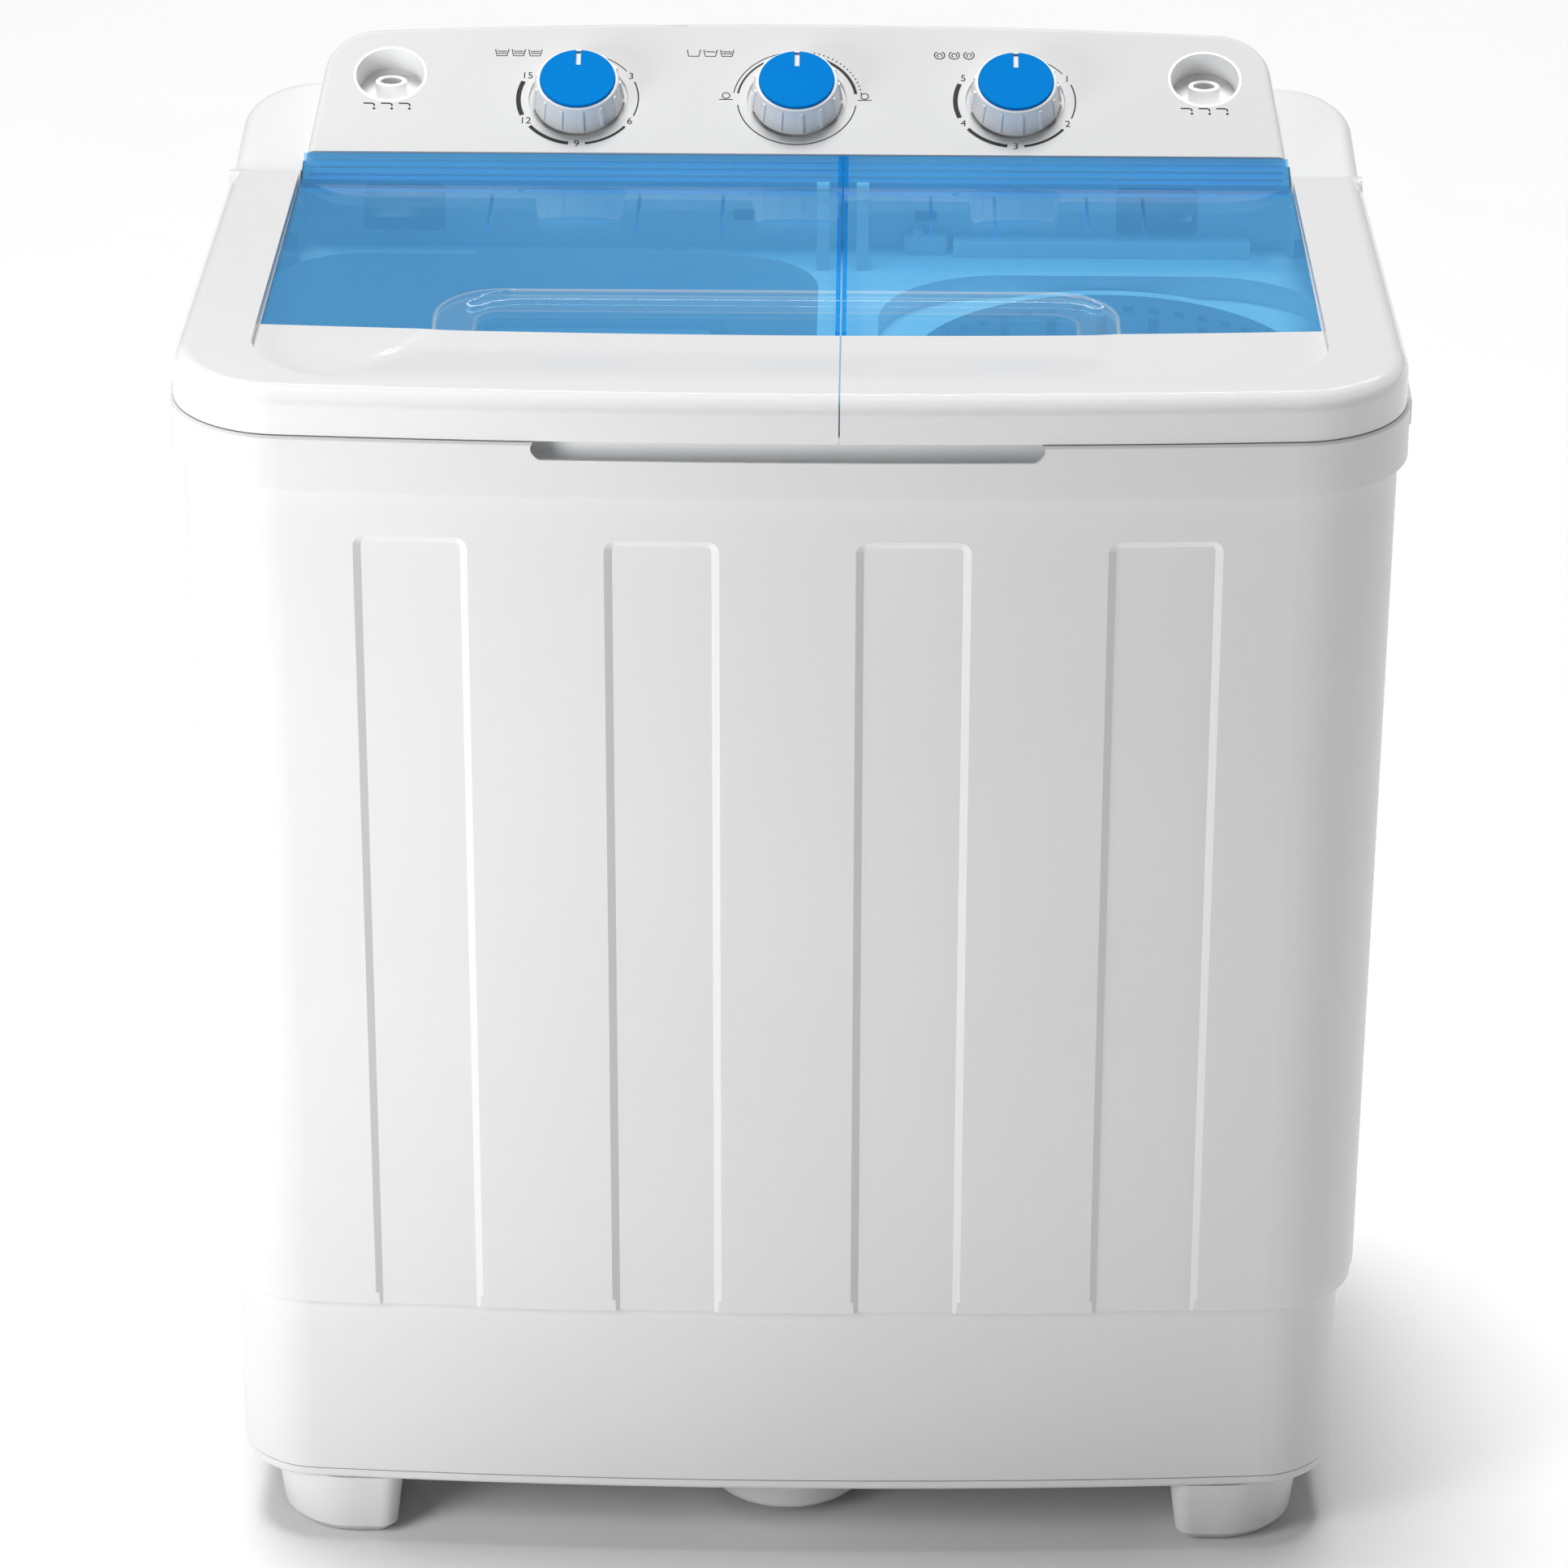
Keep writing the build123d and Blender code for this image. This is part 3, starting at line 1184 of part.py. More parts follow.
# rubber feet between the spin motor and the base tray
with BuildPart() as spin_motor_mounts:
    for turn in (MOUNT_START, MOUNT_START + 120, MOUNT_START + 240):
        x = SPIN_X + MOUNT_CIRCLE * cos(radians(turn))
        y = SPIN_Y + MOUNT_CIRCLE * sin(radians(turn))
        add(
            turned(
                [
                    (0, RIB_TOP),
                    (12, RIB_TOP),
                    (8, RIB_TOP + 4),
                    (8, SPIN_MOTOR_LOW - 4),
                    (12, SPIN_MOTOR_LOW),
                    (0, SPIN_MOTOR_LOW),
                ],
                x,
                y,
            )
        )
save(spin_motor_mounts, "spin_motor_mounts")

# rubber bellows that closes the floor of the spin tub around the shaft
with BuildPart() as spin_shaft_bellows:
    add(
        turned(
            [
                (SPIN_SHAFT_R + FIT, SPIN_FLOOR - 8),
                (14, SPIN_FLOOR - 8),
                (16, SPIN_FLOOR - 3),
                (22, SPIN_FLOOR - 6),
                (26, SPIN_FLOOR - 2),
                (29.9, SPIN_FLOOR),
                (29.9, SPIN_FLOOR + 3),
                (24, SPIN_FLOOR + 3),
                (20, SPIN_FLOOR - 1),
                (16, SPIN_FLOOR + 3),
                (12, SPIN_FLOOR - 1),
                (SPIN_SHAFT_R + FIT, SPIN_FLOOR - 1),
            ],
            SPIN_X,
            SPIN_Y,
        )
    )
save(spin_shaft_bellows, "spin_shaft_bellows")

# brake arm: pivots beside the drum, and its lined shoe meets the drum when the spin lid opens
ARM_X, ARM_Y = SPIN_X - DRUM_R - 22, SPIN_Y + 40
SHOE_GAP = 3.5
with BuildPart() as brake_arm:
    with BuildSketch(Plane.XY.offset(DRUM_LOW + 4)) as arm:
        with Locations((ARM_X, ARM_Y)):
            Circle(8)
        with Locations((ARM_X + 1, ARM_Y - 30)):
            Rectangle(9, 60)
        with Locations((SPIN_X - DRUM_R - SHOE_GAP - 7, ARM_Y - 46)):
            Rectangle(20, 26)
        with Locations((SPIN_X, SPIN_Y)):
            Circle(DRUM_R + SHOE_GAP, mode=Mode.SUBTRACT)
        with Locations((ARM_X, ARM_Y)):
            Circle(4 + FIT, mode=Mode.SUBTRACT)
    extrude(amount=10)
save(brake_arm, "brake_arm")

# fixed post that the brake arm turns on, rising from the base tray
with BuildPart() as brake_pivot:
    with BuildSketch(Plane.XY.offset(TRAY_FLOOR)) as pivot_column:
        with Locations((ARM_X, ARM_Y)):
            Circle(9)
    extrude(amount=DRUM_LOW + 3.5 - TRAY_FLOOR)
    with BuildSketch(Plane.XY.offset(DRUM_LOW)) as pivot_pin:
        with Locations((ARM_X, ARM_Y)):
            Circle(4)
    extrude(amount=20)
save(brake_pivot, "brake_pivot")

# ---------------------------------------------------------------- drain
VALVE_LOW, VALVE_TOP = 178.0, WASH_FLOOR - 0.4
STUB_Z = VALVE_LOW + 15.0

with BuildPart() as drain_valve_body:
    add(
        turned(
            [
                (9, VALVE_LOW),
                (19, VALVE_LOW),
                (19, VALVE_TOP),
                (16, VALVE_TOP),
                (16, VALVE_LOW + 3),
                (9, VALVE_LOW + 3),
            ],
            DRAIN_X,
            DRAIN_Y,
        )
    )
    # side stub towards the outlet pipe
    with BuildSketch(Plane.YZ.offset(DRAIN_X + 17)) as stub:
        with Locations((DRAIN_Y, STUB_Z)):
            Circle(11)
    extrude(amount=14)
    with BuildSketch(Plane.YZ.offset(DRAIN_X + 10)) as stub_bore:
        with Locations((DRAIN_Y, STUB_Z)):
            Circle(9)
    extrude(amount=30, mode=Mode.SUBTRACT)
save(drain_valve_body, "drain_valve_body")

with BuildPart() as drain_valve_plunger:
    add(
        turned(
            [
                (0, VALVE_LOW + 3.3),
                (13, VALVE_LOW + 3.3),
                (14.5, VALVE_LOW + 6),
                (14.5, VALVE_LOW + 9),
                (5, VALVE_LOW + 12),
                (5, VALVE_TOP - 12),
                (0, VALVE_TOP - 12),
            ],
            DRAIN_X,
            DRAIN_Y,
        )
    )
save(drain_valve_plunger, "drain_valve_plunger")

# outlet pipe: from below the valve stub, down, and out through the back of the plinth
with BuildPart() as drain_spigot:
    with BuildSketch(Plane.XZ.offset(-130)) as neck:
        with Locations((OUTLET_X, OUTLET_Z)):
            Circle(NECK_R)
    extrude(amount=-(NECK_END - 130))
    with BuildSketch(Plane.XZ.offset(-NECK_END)) as outlet:
        with Locations((OUTLET_X, OUTLET_Z)):
            Circle(OUTLET_R)
    extrude(amount=-(REAR - 1.5 - NECK_END))
    with BuildSketch(Plane.XZ.offset(-160)) as collar:
        with Locations((OUTLET_X, OUTLET_Z)):
            Circle(17)
    extrude(amount=-6)
    with BuildSketch(Plane.XZ.offset(-120)) as outlet_bore:
        with Locations((OUTLET_X, OUTLET_Z)):
            Circle(OUTLET_BORE)
    extrude(amount=-90, mode=Mode.SUBTRACT)
save(drain_spigot, "drain_spigot")

# flexible pipe inside the base, from the valve's stub down to the outlet
PIPE_R = 11.0
with BuildPart() as drain_pipe:
    with BuildLine() as pipe_route:
        FilletPolyline(
            (DRAIN_X + 31.4, DRAIN_Y, STUB_Z),
            (OUTLET_X, DRAIN_Y, STUB_Z),
            (OUTLET_X, DRAIN_Y, OUTLET_Z),
            (OUTLET_X, 129.6, OUTLET_Z),
            radius=24,
        )
    with BuildSketch(Plane.YZ.offset(DRAIN_X + 31.4)) as pipe_section:
        with Locations((DRAIN_Y, STUB_Z)):
            Circle(PIPE_R)
            Circle(PIPE_R - 2, mode=Mode.SUBTRACT)
    sweep(pipe_section.sketch, path=pipe_route.wires()[0])
save(drain_pipe, "drain_pipe")

# overflow filter: slotted column in the bay of the wash tub
FILTER_LOW, FILTER_HIGH = 300.0, 560.0
with BuildPart() as overflow_filter:
    with BuildSketch(Plane.XY.offset(FILTER_LOW)) as filter_outer:
        with Locations((BAY_X, BAY_REAR - 9.5)):
            RectangleRounded(112, 18, 6)
            RectangleRounded(108, 14, 4, mode=Mode.SUBTRACT)
    extrude(amount=FILTER_HIGH - FILTER_LOW)
    with BuildSketch(Plane.XY.offset(FILTER_HIGH - 3)) as filter_top:
        with Locations((BAY_X, BAY_REAR - 9.5)):
            RectangleRounded(112, 18, 6)
    extrude(amount=3)
    with BuildSketch(Plane.XZ.offset(-(BAY_REAR - 30))) as filter_slots:
        with Locations((BAY_X, 420)):
            with GridLocations(14, 46, 7, 5):
                SlotOverall(34, 4, rotation=90)
    extrude(amount=-16, mode=Mode.SUBTRACT)
save(overflow_filter, "overflow_filter")

# ---------------------------------------------------------------- back, hooks, gland and electrics
SCREW_PLACES = [(sx * 219, z) for sx in (-1, 1) for z in (190, 365, 540)] + [(0, 165), (0, 565)]
with BuildPart() as back_cover:
    with BuildSketch(Plane.XZ.offset(-(REAR - 3.4))) as cover:
        with Locations((0, 365)):
            RectangleRounded(456, 420, 26)
    extrude(amount=-2.6)
    fillet(back_cover.edges().group_by(Axis.Y)[-1], 1.2)
    # pressed stiffening frames
    with BuildSketch(Plane.XZ.offset(-(REAR - 0.8))) as swage:
        with Locations((0, 440)):
            RectangleRounded(360, 180, 20)
            RectangleRounded(346, 166, 14, mode=Mode.SUBTRACT)
    extrude(amount=1.0, mode=Mode.SUBTRACT)
    # cooling louvres for the motors
    with BuildSketch(Plane.XZ.offset(-(REAR - 5))) as louvres:
        for x in (-80, 80):
            with Locations((x, 250)):
                with GridLocations(0, 12, 1, 7):
                    SlotOverall(90, 5)
    extrude(amount=-8, mode=Mode.SUBTRACT)
    with BuildSketch(Plane.XZ.offset(-(REAR - 5))) as cover_holes:
        with Locations(*SCREW_PLACES):
            Circle(2.1)
    extrude(amount=-8, mode=Mode.SUBTRACT)
save(back_cover, "back_cover")

with BuildPart() as back_cover_screws:
    with BuildSketch(Plane.XZ.offset(-(REAR - 0.8))) as screw_heads:
        with Locations(*SCREW_PLACES):
            Circle(4)
    extrude(amount=-0.8)
    with BuildSketch(Plane.XZ.offset(-(REAR - 0.8))) as screw_shanks:
        with Locations(*SCREW_PLACES):
            Circle(2.0)
    extrude(amount=2.6)
    with BuildSketch(Plane.XZ.offset(-REAR)) as drives:
        with Locations(*SCREW_PLACES):
            Rectangle(4.6, 0.9)
            Rectangle(0.9, 4.6)
    extrude(amount=0.5, mode=Mode.SUBTRACT)
save(back_cover_screws, "back_cover_screws")

# short tight bore at the outer end, wider where the gland passes the plinth
with BuildPart() as cord_gland:
    with BuildSketch(Plane.XZ.offset(-GLAND_START)) as gland_body:
        with Locations((GLAND_X, GLAND_Z)):
            Circle(GLAND_R)
    extrude(amount=GLAND_START - GLAND_END)
    with BuildSketch(Plane.XZ.offset(-(REAR - PLINTH_INSET))) as gland_flange:
        with Locations((GLAND_X, GLAND_Z)):
            Circle(GLAND_R + 3)
    extrude(amount=-2)
    with BuildSketch(Plane.XZ.offset(-GLAND_END)) as gland_bore:
        with Locations((GLAND_X, GLAND_Z)):
            Circle(CORD_R)
    extrude(amount=GLAND_LENGTH, mode=Mode.SUBTRACT)
    with BuildSketch(Plane.XZ.offset(-GLAND_START)) as gland_mouth:
        with Locations((GLAND_X, GLAND_Z)):
            Circle(CORD_R + 0.9)
    extrude(amount=GLAND_START + GLAND_LENGTH - GLAND_END, mode=Mode.SUBTRACT)
save(cord_gland, "cord_gland")

# ears on both sides of the rim that hold a hose
with BuildPart() as hose_hooks:
    for side in (-1, 1):
        with BuildSketch(Plane.XY.offset(598)) as ear:
            with Locations((side * (HALF_W - 1.5), -96)):
                RectangleRounded(7, 30, 3)
        extrude(amount=14)
    fillet(hose_hooks.edges().group_by(Axis.Z)[-1], 1.4)
    fillet(hose_hooks.edges().group_by(Axis.Z)[0], 1.4)
    add(top_rim.part, mode=Mode.SUBTRACT)
    with Locations((0, 0, 600)):
        Box(2 * HALF_W - 6, 400, 60, mode=Mode.SUBTRACT)
save(hose_hooks, "hose_hooks")

SWITCH_X, SWITCH_Y = 66.0, 106.5
SWITCH_CASE_TOP = DECK_TOP + 9
with BuildPart() as lid_switch:
    with BuildSketch(Plane.XY.offset(DECK_TOP)) as switch_case:
        with Locations((SWITCH_X, SWITCH_Y)):
            RectangleRounded(22, 9, 2)
    extrude(amount=SWITCH_CASE_TOP - DECK_TOP)
    with BuildSketch(Plane.XY.offset(SWITCH_CASE_TOP)) as switch_button:
        with Locations((SWITCH_X - 4, SWITCH_Y)):
            Circle(2.5)
    extrude(amount=3)
save(lid_switch, "lid_switch")

CAPACITOR_R = 18.0
with BuildPart() as motor_capacitors:
    for x in (-215.0, -172.0):
        with BuildSketch(Plane.XY.offset(RIB_TOP)) as can:
            with Locations((x, 104)):
                Circle(CAPACITOR_R)
        extrude(amount=62)
    fillet(motor_capacitors.edges().group_by(Axis.Z)[-1], 3)
save(motor_capacitors, "motor_capacitors")
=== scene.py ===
import json
from math import cos, hypot, pi, radians, sin

import bmesh
import bpy
from mathutils import Matrix, Vector


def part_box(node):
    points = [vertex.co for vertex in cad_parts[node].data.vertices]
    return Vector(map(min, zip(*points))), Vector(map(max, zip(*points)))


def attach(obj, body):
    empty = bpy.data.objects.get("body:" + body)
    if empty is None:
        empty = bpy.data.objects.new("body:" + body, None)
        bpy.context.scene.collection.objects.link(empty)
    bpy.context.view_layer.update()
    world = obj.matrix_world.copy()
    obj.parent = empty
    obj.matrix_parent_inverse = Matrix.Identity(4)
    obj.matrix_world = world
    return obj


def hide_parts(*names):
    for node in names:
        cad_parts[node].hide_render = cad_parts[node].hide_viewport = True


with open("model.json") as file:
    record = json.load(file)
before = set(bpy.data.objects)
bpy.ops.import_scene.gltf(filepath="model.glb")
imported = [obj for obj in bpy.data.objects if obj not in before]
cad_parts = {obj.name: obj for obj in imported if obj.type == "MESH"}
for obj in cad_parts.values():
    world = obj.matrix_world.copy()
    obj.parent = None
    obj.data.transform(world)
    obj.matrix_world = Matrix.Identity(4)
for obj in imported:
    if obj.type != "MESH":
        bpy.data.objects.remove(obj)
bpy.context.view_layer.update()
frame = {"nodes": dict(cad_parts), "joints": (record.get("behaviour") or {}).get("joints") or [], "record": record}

MM = 0.001


# ---------------------------------------------------------------- materials

NOISE_LOW, NOISE_HIGH = 0.2, 0.8          # the span that a noise texture really covers


def new_material(name):
    """An empty node material: its nodes, its links and a Principled shader wired to the output."""
    material = bpy.data.materials.new(name)
    material.use_nodes = True
    nodes, links = material.node_tree.nodes, material.node_tree.links
    nodes.clear()
    output = nodes.new("ShaderNodeOutputMaterial")
    shader = nodes.new("ShaderNodeBsdfPrincipled")
    links.new(shader.outputs["BSDF"], output.inputs["Surface"])
    return material, nodes, links, shader, output


def noise(nodes, links, scale, detail=2.0, stretch=(1.0, 1.0, 1.0)):
    """Noise fixed to the piece, scale in features per metre."""
    place = nodes.new("ShaderNodeTexCoord")
    mapping = nodes.new("ShaderNodeMapping")
    mapping.inputs["Scale"].default_value = stretch
    texture = nodes.new("ShaderNodeTexNoise")
    texture.inputs["Scale"].default_value = scale
    texture.inputs["Detail"].default_value = detail
    links.new(place.outputs["Object"], mapping.inputs["Vector"])
    links.new(mapping.outputs["Vector"], texture.inputs["Vector"])
    return texture.outputs["Fac"]


def ramp(nodes, links, factor, low, high):
    """Turns a noise factor into a range of numbers."""
    scaled = nodes.new("ShaderNodeMapRange")
    scaled.inputs["From Min"].default_value = NOISE_LOW
    scaled.inputs["From Max"].default_value = NOISE_HIGH
    scaled.inputs["To Min"].default_value = low
    scaled.inputs["To Max"].default_value = high
    links.new(factor, scaled.inputs["Value"])
    return scaled.outputs["Result"]


def blend_colours(nodes, links, factor, first, second):
    mix = nodes.new("ShaderNodeMix")
    mix.data_type = "RGBA"
    mix.inputs["A"].default_value = (*first, 1.0)
    mix.inputs["B"].default_value = (*second, 1.0)
    links.new(factor, mix.inputs["Factor"])
    return mix.outputs["Result"]


def bump(nodes, links, shader, height, distance):
    node = nodes.new("ShaderNodeBump")
    node.inputs["Distance"].default_value = distance
    node.inputs["Strength"].default_value = 1.0
    links.new(height, node.inputs["Height"])
    links.new(node.outputs["Normal"], shader.inputs["Normal"])


def moulded(name, pale, deep, rough, grain=420.0, relief=0.012, coat=0.0, shine=0.5):
    """Injection-moulded plastic: faint flow clouding, uneven gloss and a fine mould grain, relief in mm."""
    material, nodes, links, shader, _ = new_material(name)
    clouding = ramp(nodes, links, noise(nodes, links, 7.0, 3.0), 0.0, 1.0)
    links.new(blend_colours(nodes, links, clouding, pale, deep), shader.inputs["Base Color"])
    gloss = ramp(nodes, links, noise(nodes, links, 11.0, 1.0), rough[0], rough[1])
    links.new(gloss, shader.inputs["Roughness"])
    shader.inputs["Coat Weight"].default_value = coat
    shader.inputs["Specular IOR Level"].default_value = shine
    shader.inputs["Coat Roughness"].default_value = 0.12
    bump(nodes, links, shader, noise(nodes, links, grain, 2.0), relief * MM)
    return material


def brushed(name, pale, deep, stretch):
    """Drawn or turned metal: fine streaks along one direction."""
    material, nodes, links, shader, _ = new_material(name)
    streaks = noise(nodes, links, 90.0, 4.0, stretch)
    tone = ramp(nodes, links, streaks, 0.0, 1.0)
    links.new(blend_colours(nodes, links, tone, pale, deep), shader.inputs["Base Color"])
    links.new(ramp(nodes, links, streaks, 0.24, 0.42), shader.inputs["Roughness"])
    shader.inputs["Metallic"].default_value = 1.0
    bump(nodes, links, shader, streaks, 0.01 * MM)
    return material


def cast_metal(name, pale, deep):
    """Die-cast aluminium: matt, mottled, with a sandy skin."""
    material, nodes, links, shader, _ = new_material(name)
    mottle = ramp(nodes, links, noise(nodes, links, 60.0, 5.0), 0.0, 1.0)
    links.new(blend_colours(nodes, links, mottle, pale, deep), shader.inputs["Base Color"])
    links.new(ramp(nodes, links, noise(nodes, links, 140.0), 0.42, 0.6), shader.inputs["Roughness"])
    shader.inputs["Metallic"].default_value = 0.85
    bump(nodes, links, shader, noise(nodes, links, 900.0, 3.0), 0.05 * MM)
    return material


# Painted highlights: pale lines on the windows along the dish's rim and foot stand in for the lamps' reflections
# on the bent plastic.
# The rim of the dish where it crosses the windows, as a rounded rectangle: middle, half size
# without the rounding, and rounding, in metres.
CREASE_MIDDLE = (-0.007, -0.2455, 0.0)
CREASE_HALF = (0.132, 0.168, 1.0)
CREASE_R = 0.032
CREASE_FOOT = 0.019          # how far inside the rim the dish's floor begins
HIGHLIGHT_HALF_WIDTH = 0.0013         # half the width of a pale line
CREASE_SPAN = 1.5 * CREASE_FOOT
CREASE_PAST = 0.1 * CREASE_SPAN
# Strength of the painted highlights: on the rim, on the foot, and the faint painted sheen on the slope.
RIM_HIGHLIGHT, FOOT_HIGHLIGHT, SLOPE_HIGHLIGHT = 0.85, 0.45, 0.12


def painted_crease_highlights(nodes, links):
    """Share of painted highlight on the windows: a pale line along the rim of the dish, a fainter one along its
    foot, and a faint painted sheen on the slope between them.
    """
    place = nodes.new("ShaderNodeTexCoord")
    vector = place.outputs["Object"]
    for operation, value in (("SUBTRACT", CREASE_MIDDLE), ("ABSOLUTE", None), ("SUBTRACT", CREASE_HALF),
                             ("MAXIMUM", (0.0, 0.0, 0.0)), ("LENGTH", None)):
        step = nodes.new("ShaderNodeVectorMath")
        step.operation = operation
        links.new(vector, step.inputs[0])
        if value:
            step.inputs[1].default_value = value
        vector = step.outputs["Value" if operation == "LENGTH" else "Vector"]
    along = nodes.new("ShaderNodeMapRange")
    along.inputs["From Min"].default_value = CREASE_R - CREASE_SPAN
    along.inputs["From Max"].default_value = CREASE_R + CREASE_PAST
    links.new(vector, along.inputs["Value"])
    lines = nodes.new("ShaderNodeValToRGB")
    stops = lines.color_ramp.elements
    unit = 1.0 / (CREASE_SPAN + CREASE_PAST)
    foot = (CREASE_SPAN - CREASE_FOOT) * unit
    rim = CREASE_SPAN * unit
    half = HIGHLIGHT_HALF_WIDTH * unit
    levels = (
        (0.0, 0.0),
        (foot - half, 0.0),
        (foot, FOOT_HIGHLIGHT),
        (foot + half, SLOPE_HIGHLIGHT),
        (rim - half, SLOPE_HIGHLIGHT),
        (rim, RIM_HIGHLIGHT),
        (rim + half, 0.0),
        (1.0, 0.0),
    )
    while len(stops) < len(levels):
        stops.new(0.5)
    for stop, (position, level) in zip(stops, levels):
        stop.position = position
        stop.color = (level, level, level, 1.0)
    links.new(along.outputs["Result"], lines.inputs["Fac"])
    return lines.outputs["Color"]


def tinted(name, see_through, skin, body, painted_highlights=False):
    """Clear blue plastic: passing light takes the see_through tint, and skin is the share that stays."""
    material, nodes, links, shader, output = new_material(name)
    cloud = ramp(nodes, links, noise(nodes, links, 5.0, 2.0), 0.0, 1.0)
    deeper = tuple(0.9 * value for value in body)
    tone = blend_colours(nodes, links, cloud, body, deeper)
    # Painted highlights: pale colour is mixed into the tint along the dish's rim and foot.
    if painted_highlights:
        pale = nodes.new("ShaderNodeMix")
        pale.data_type = "RGBA"
        pale.inputs["B"].default_value = (1.0, 1.0, 1.0, 1.0)
        links.new(painted_crease_highlights(nodes, links), pale.inputs["Factor"])
        links.new(tone, pale.inputs["A"])
        tone = pale.outputs["Result"]
    links.new(tone, shader.inputs["Base Color"])
    links.new(ramp(nodes, links, noise(nodes, links, 30.0, 3.0), 0.03, 0.07), shader.inputs["Roughness"])
    shader.inputs["Coat Weight"].default_value = 1.0
    shader.inputs["Specular IOR Level"].default_value = 1.0
    bump(nodes, links, shader, noise(nodes, links, 240.0, 1.0), 0.001 * MM)
    clear = nodes.new("ShaderNodeBsdfTransparent")
    clear.inputs["Color"].default_value = (*see_through, 1.0)
    mix = nodes.new("ShaderNodeMixShader")
    mix.inputs["Fac"].default_value = skin
    links.new(clear.outputs["BSDF"], mix.inputs[1])
    links.new(shader.outputs["BSDF"], mix.inputs[2])
    links.new(mix.outputs["Shader"], output.inputs["Surface"])
    return material


def grey(value, blue=0.0):
    """A grey, with a little more blue where asked."""
    return (value, value, value + blue)


# Paler and deeper tone of the clouding, lowest and highest roughness, and what is special.
MOULDINGS = {
    "lid_white": (grey(0.66, 0.005), grey(0.64, 0.005), (0.17, 0.20), {"coat": 0.25}),
    "shell_white": (grey(0.62, 0.005), grey(0.60, 0.005), (0.29, 0.33), {}),
    "panel_white": (grey(0.63), grey(0.615), (0.32, 0.36), {"shine": 0.3}),
    # Inlet cups: a whiter copy of the panel's plastic, raised so that the shade inside the cups comes out lighter,
    # which is painted light.
    "inlet_white_painted_light": (grey(0.93), grey(0.91), (0.28, 0.34), {"shine": 0.4}),
    "knob_white": (grey(0.88), grey(0.86), (0.28, 0.32), {}),
    "tub_white": ((0.92, 0.93, 0.94), (0.88, 0.89, 0.91), (0.30, 0.42), {}),
    "inner_plastic": ((0.72, 0.73, 0.74), (0.66, 0.67, 0.69), (0.40, 0.5), {}),
    "cap_blue": ((0.0, 0.185, 0.555), (0.0, 0.17, 0.53), (0.42, 0.48), {"shine": 0.1}),
    "dark_plastic": (grey(0.045, 0.005), grey(0.03, 0.004), (0.4, 0.55), {}),
    "print_grey": (grey(0.035), grey(0.05), (0.5, 0.6), {"shine": 0.2}),
    "rubber_grey": (grey(0.12, 0.005), grey(0.08, 0.005), (0.6, 0.75), {"grain": 1500.0, "relief": 0.04}),
    "motor_paint": ((0.10, 0.12, 0.14), (0.07, 0.085, 0.10), (0.35, 0.5), {"grain": 900.0, "relief": 0.03}),
}


def make_materials():
    """Every material by the name that the slots and the pieces use."""
    made = {}
    for name, (pale, deep, rough, special) in MOULDINGS.items():
        made[name] = moulded(name, pale, deep, rough, **special)
    made["steel"] = brushed("steel", grey(0.62, 0.01), grey(0.48, 0.02), (1.0, 1.0, 12.0))
    made["aluminium_cast"] = cast_metal("aluminium_cast", (0.62, 0.63, 0.64), (0.5, 0.51, 0.53))
    # The windows carry the painted highlights along the dish.
    made["window_blue"] = tinted("window_blue", (0.76, 0.96, 1.0), 0.31, (0.14, 0.52, 1.0), painted_highlights=True)
    made["window_rib"] = tinted("window_rib", (0.42, 0.84, 1.0), 0.40, (0.0, 0.36, 1.0))
    return made


materials = make_materials()

node_slots = {part["node"]: part["material_slot"] for part in frame["record"]["subparts"]}
for name, node in frame["nodes"].items():
    node.data.materials.clear()
    # The inlets take the whiter copy of the panel's white, which paints light into their shaded cups.
    finish = "inlet_white_painted_light" if name.startswith("water_inlet") else node_slots[name]
    node.data.materials.append(materials[finish])


# ---------------------------------------------------------------- lids with a shallow dish for the hand

DISH_DEPTH = 3.0 * MM
DISH_LEAN = 2.1          # the floor of the dish lies back by this share of its depth
DISH_REAR = -45.5        # the outline below is in mm, from the left front round the rear to the right front
DISH_FRONT = -149.0
DISH_RIM = [
    (-219, -147), (-190, -118), (-172, -86), (-169, -80.5), (-158, -62.6), (-148, -51.6),
    (-136, DISH_REAR), (126, DISH_REAR),
    (137, -46.6), (145, -52.4), (153, -62), (157, -71), (157, -86), (149, -133), (141, -148),
]
DISH_SLOPE = 16.0        # how wide the slope is at the sides and the rear, and at the front
DISH_FRONT_SLOPE = 32.0
CUT_MARGIN = 1.0         # the cuts reach this far past the outline, in mm
FINE_STEP, COARSE_STEP = 3.0, 8.0
COARSE_FROM, COARSE_TO = -130.0, 118.0
CUTS_DEEP = [DISH_FRONT + 4.0 * i for i in range(9)]
CUTS_DEEP += [-111.0 + 6.0 * i for i in range(8)]
CUTS_DEEP += [-65.5 + 2.5 * i for i in range(9)]
WELD = 0.002 * MM
CUT_NEAR = 1e-6          # a corner nearer to a cut than this is on it, in metres
SHARP = radians(28.0)
EDGE_BAR = 2.2 * MM      # the windows' edges along their seam hold more of the blue
RIB_STAND = 0.6 * MM     # what stands further than this below a window is a rib
SIDEWAYS = 0.9           # a face whose normal has more of x than this is a side wall

# Section of the windows in metres: a point (y, z) on the top, the rise, and how far down the underside is.
WINDOW_FRONT, WINDOW_RISE, WINDOW_THICK = (-0.181, 0.640), 0.010 / 0.273, 0.0085
LIP_FRONT, LIP_RISE, LIP_THICK = (0.086, 0.6448), 0.0092 / 0.0209, 0.0035


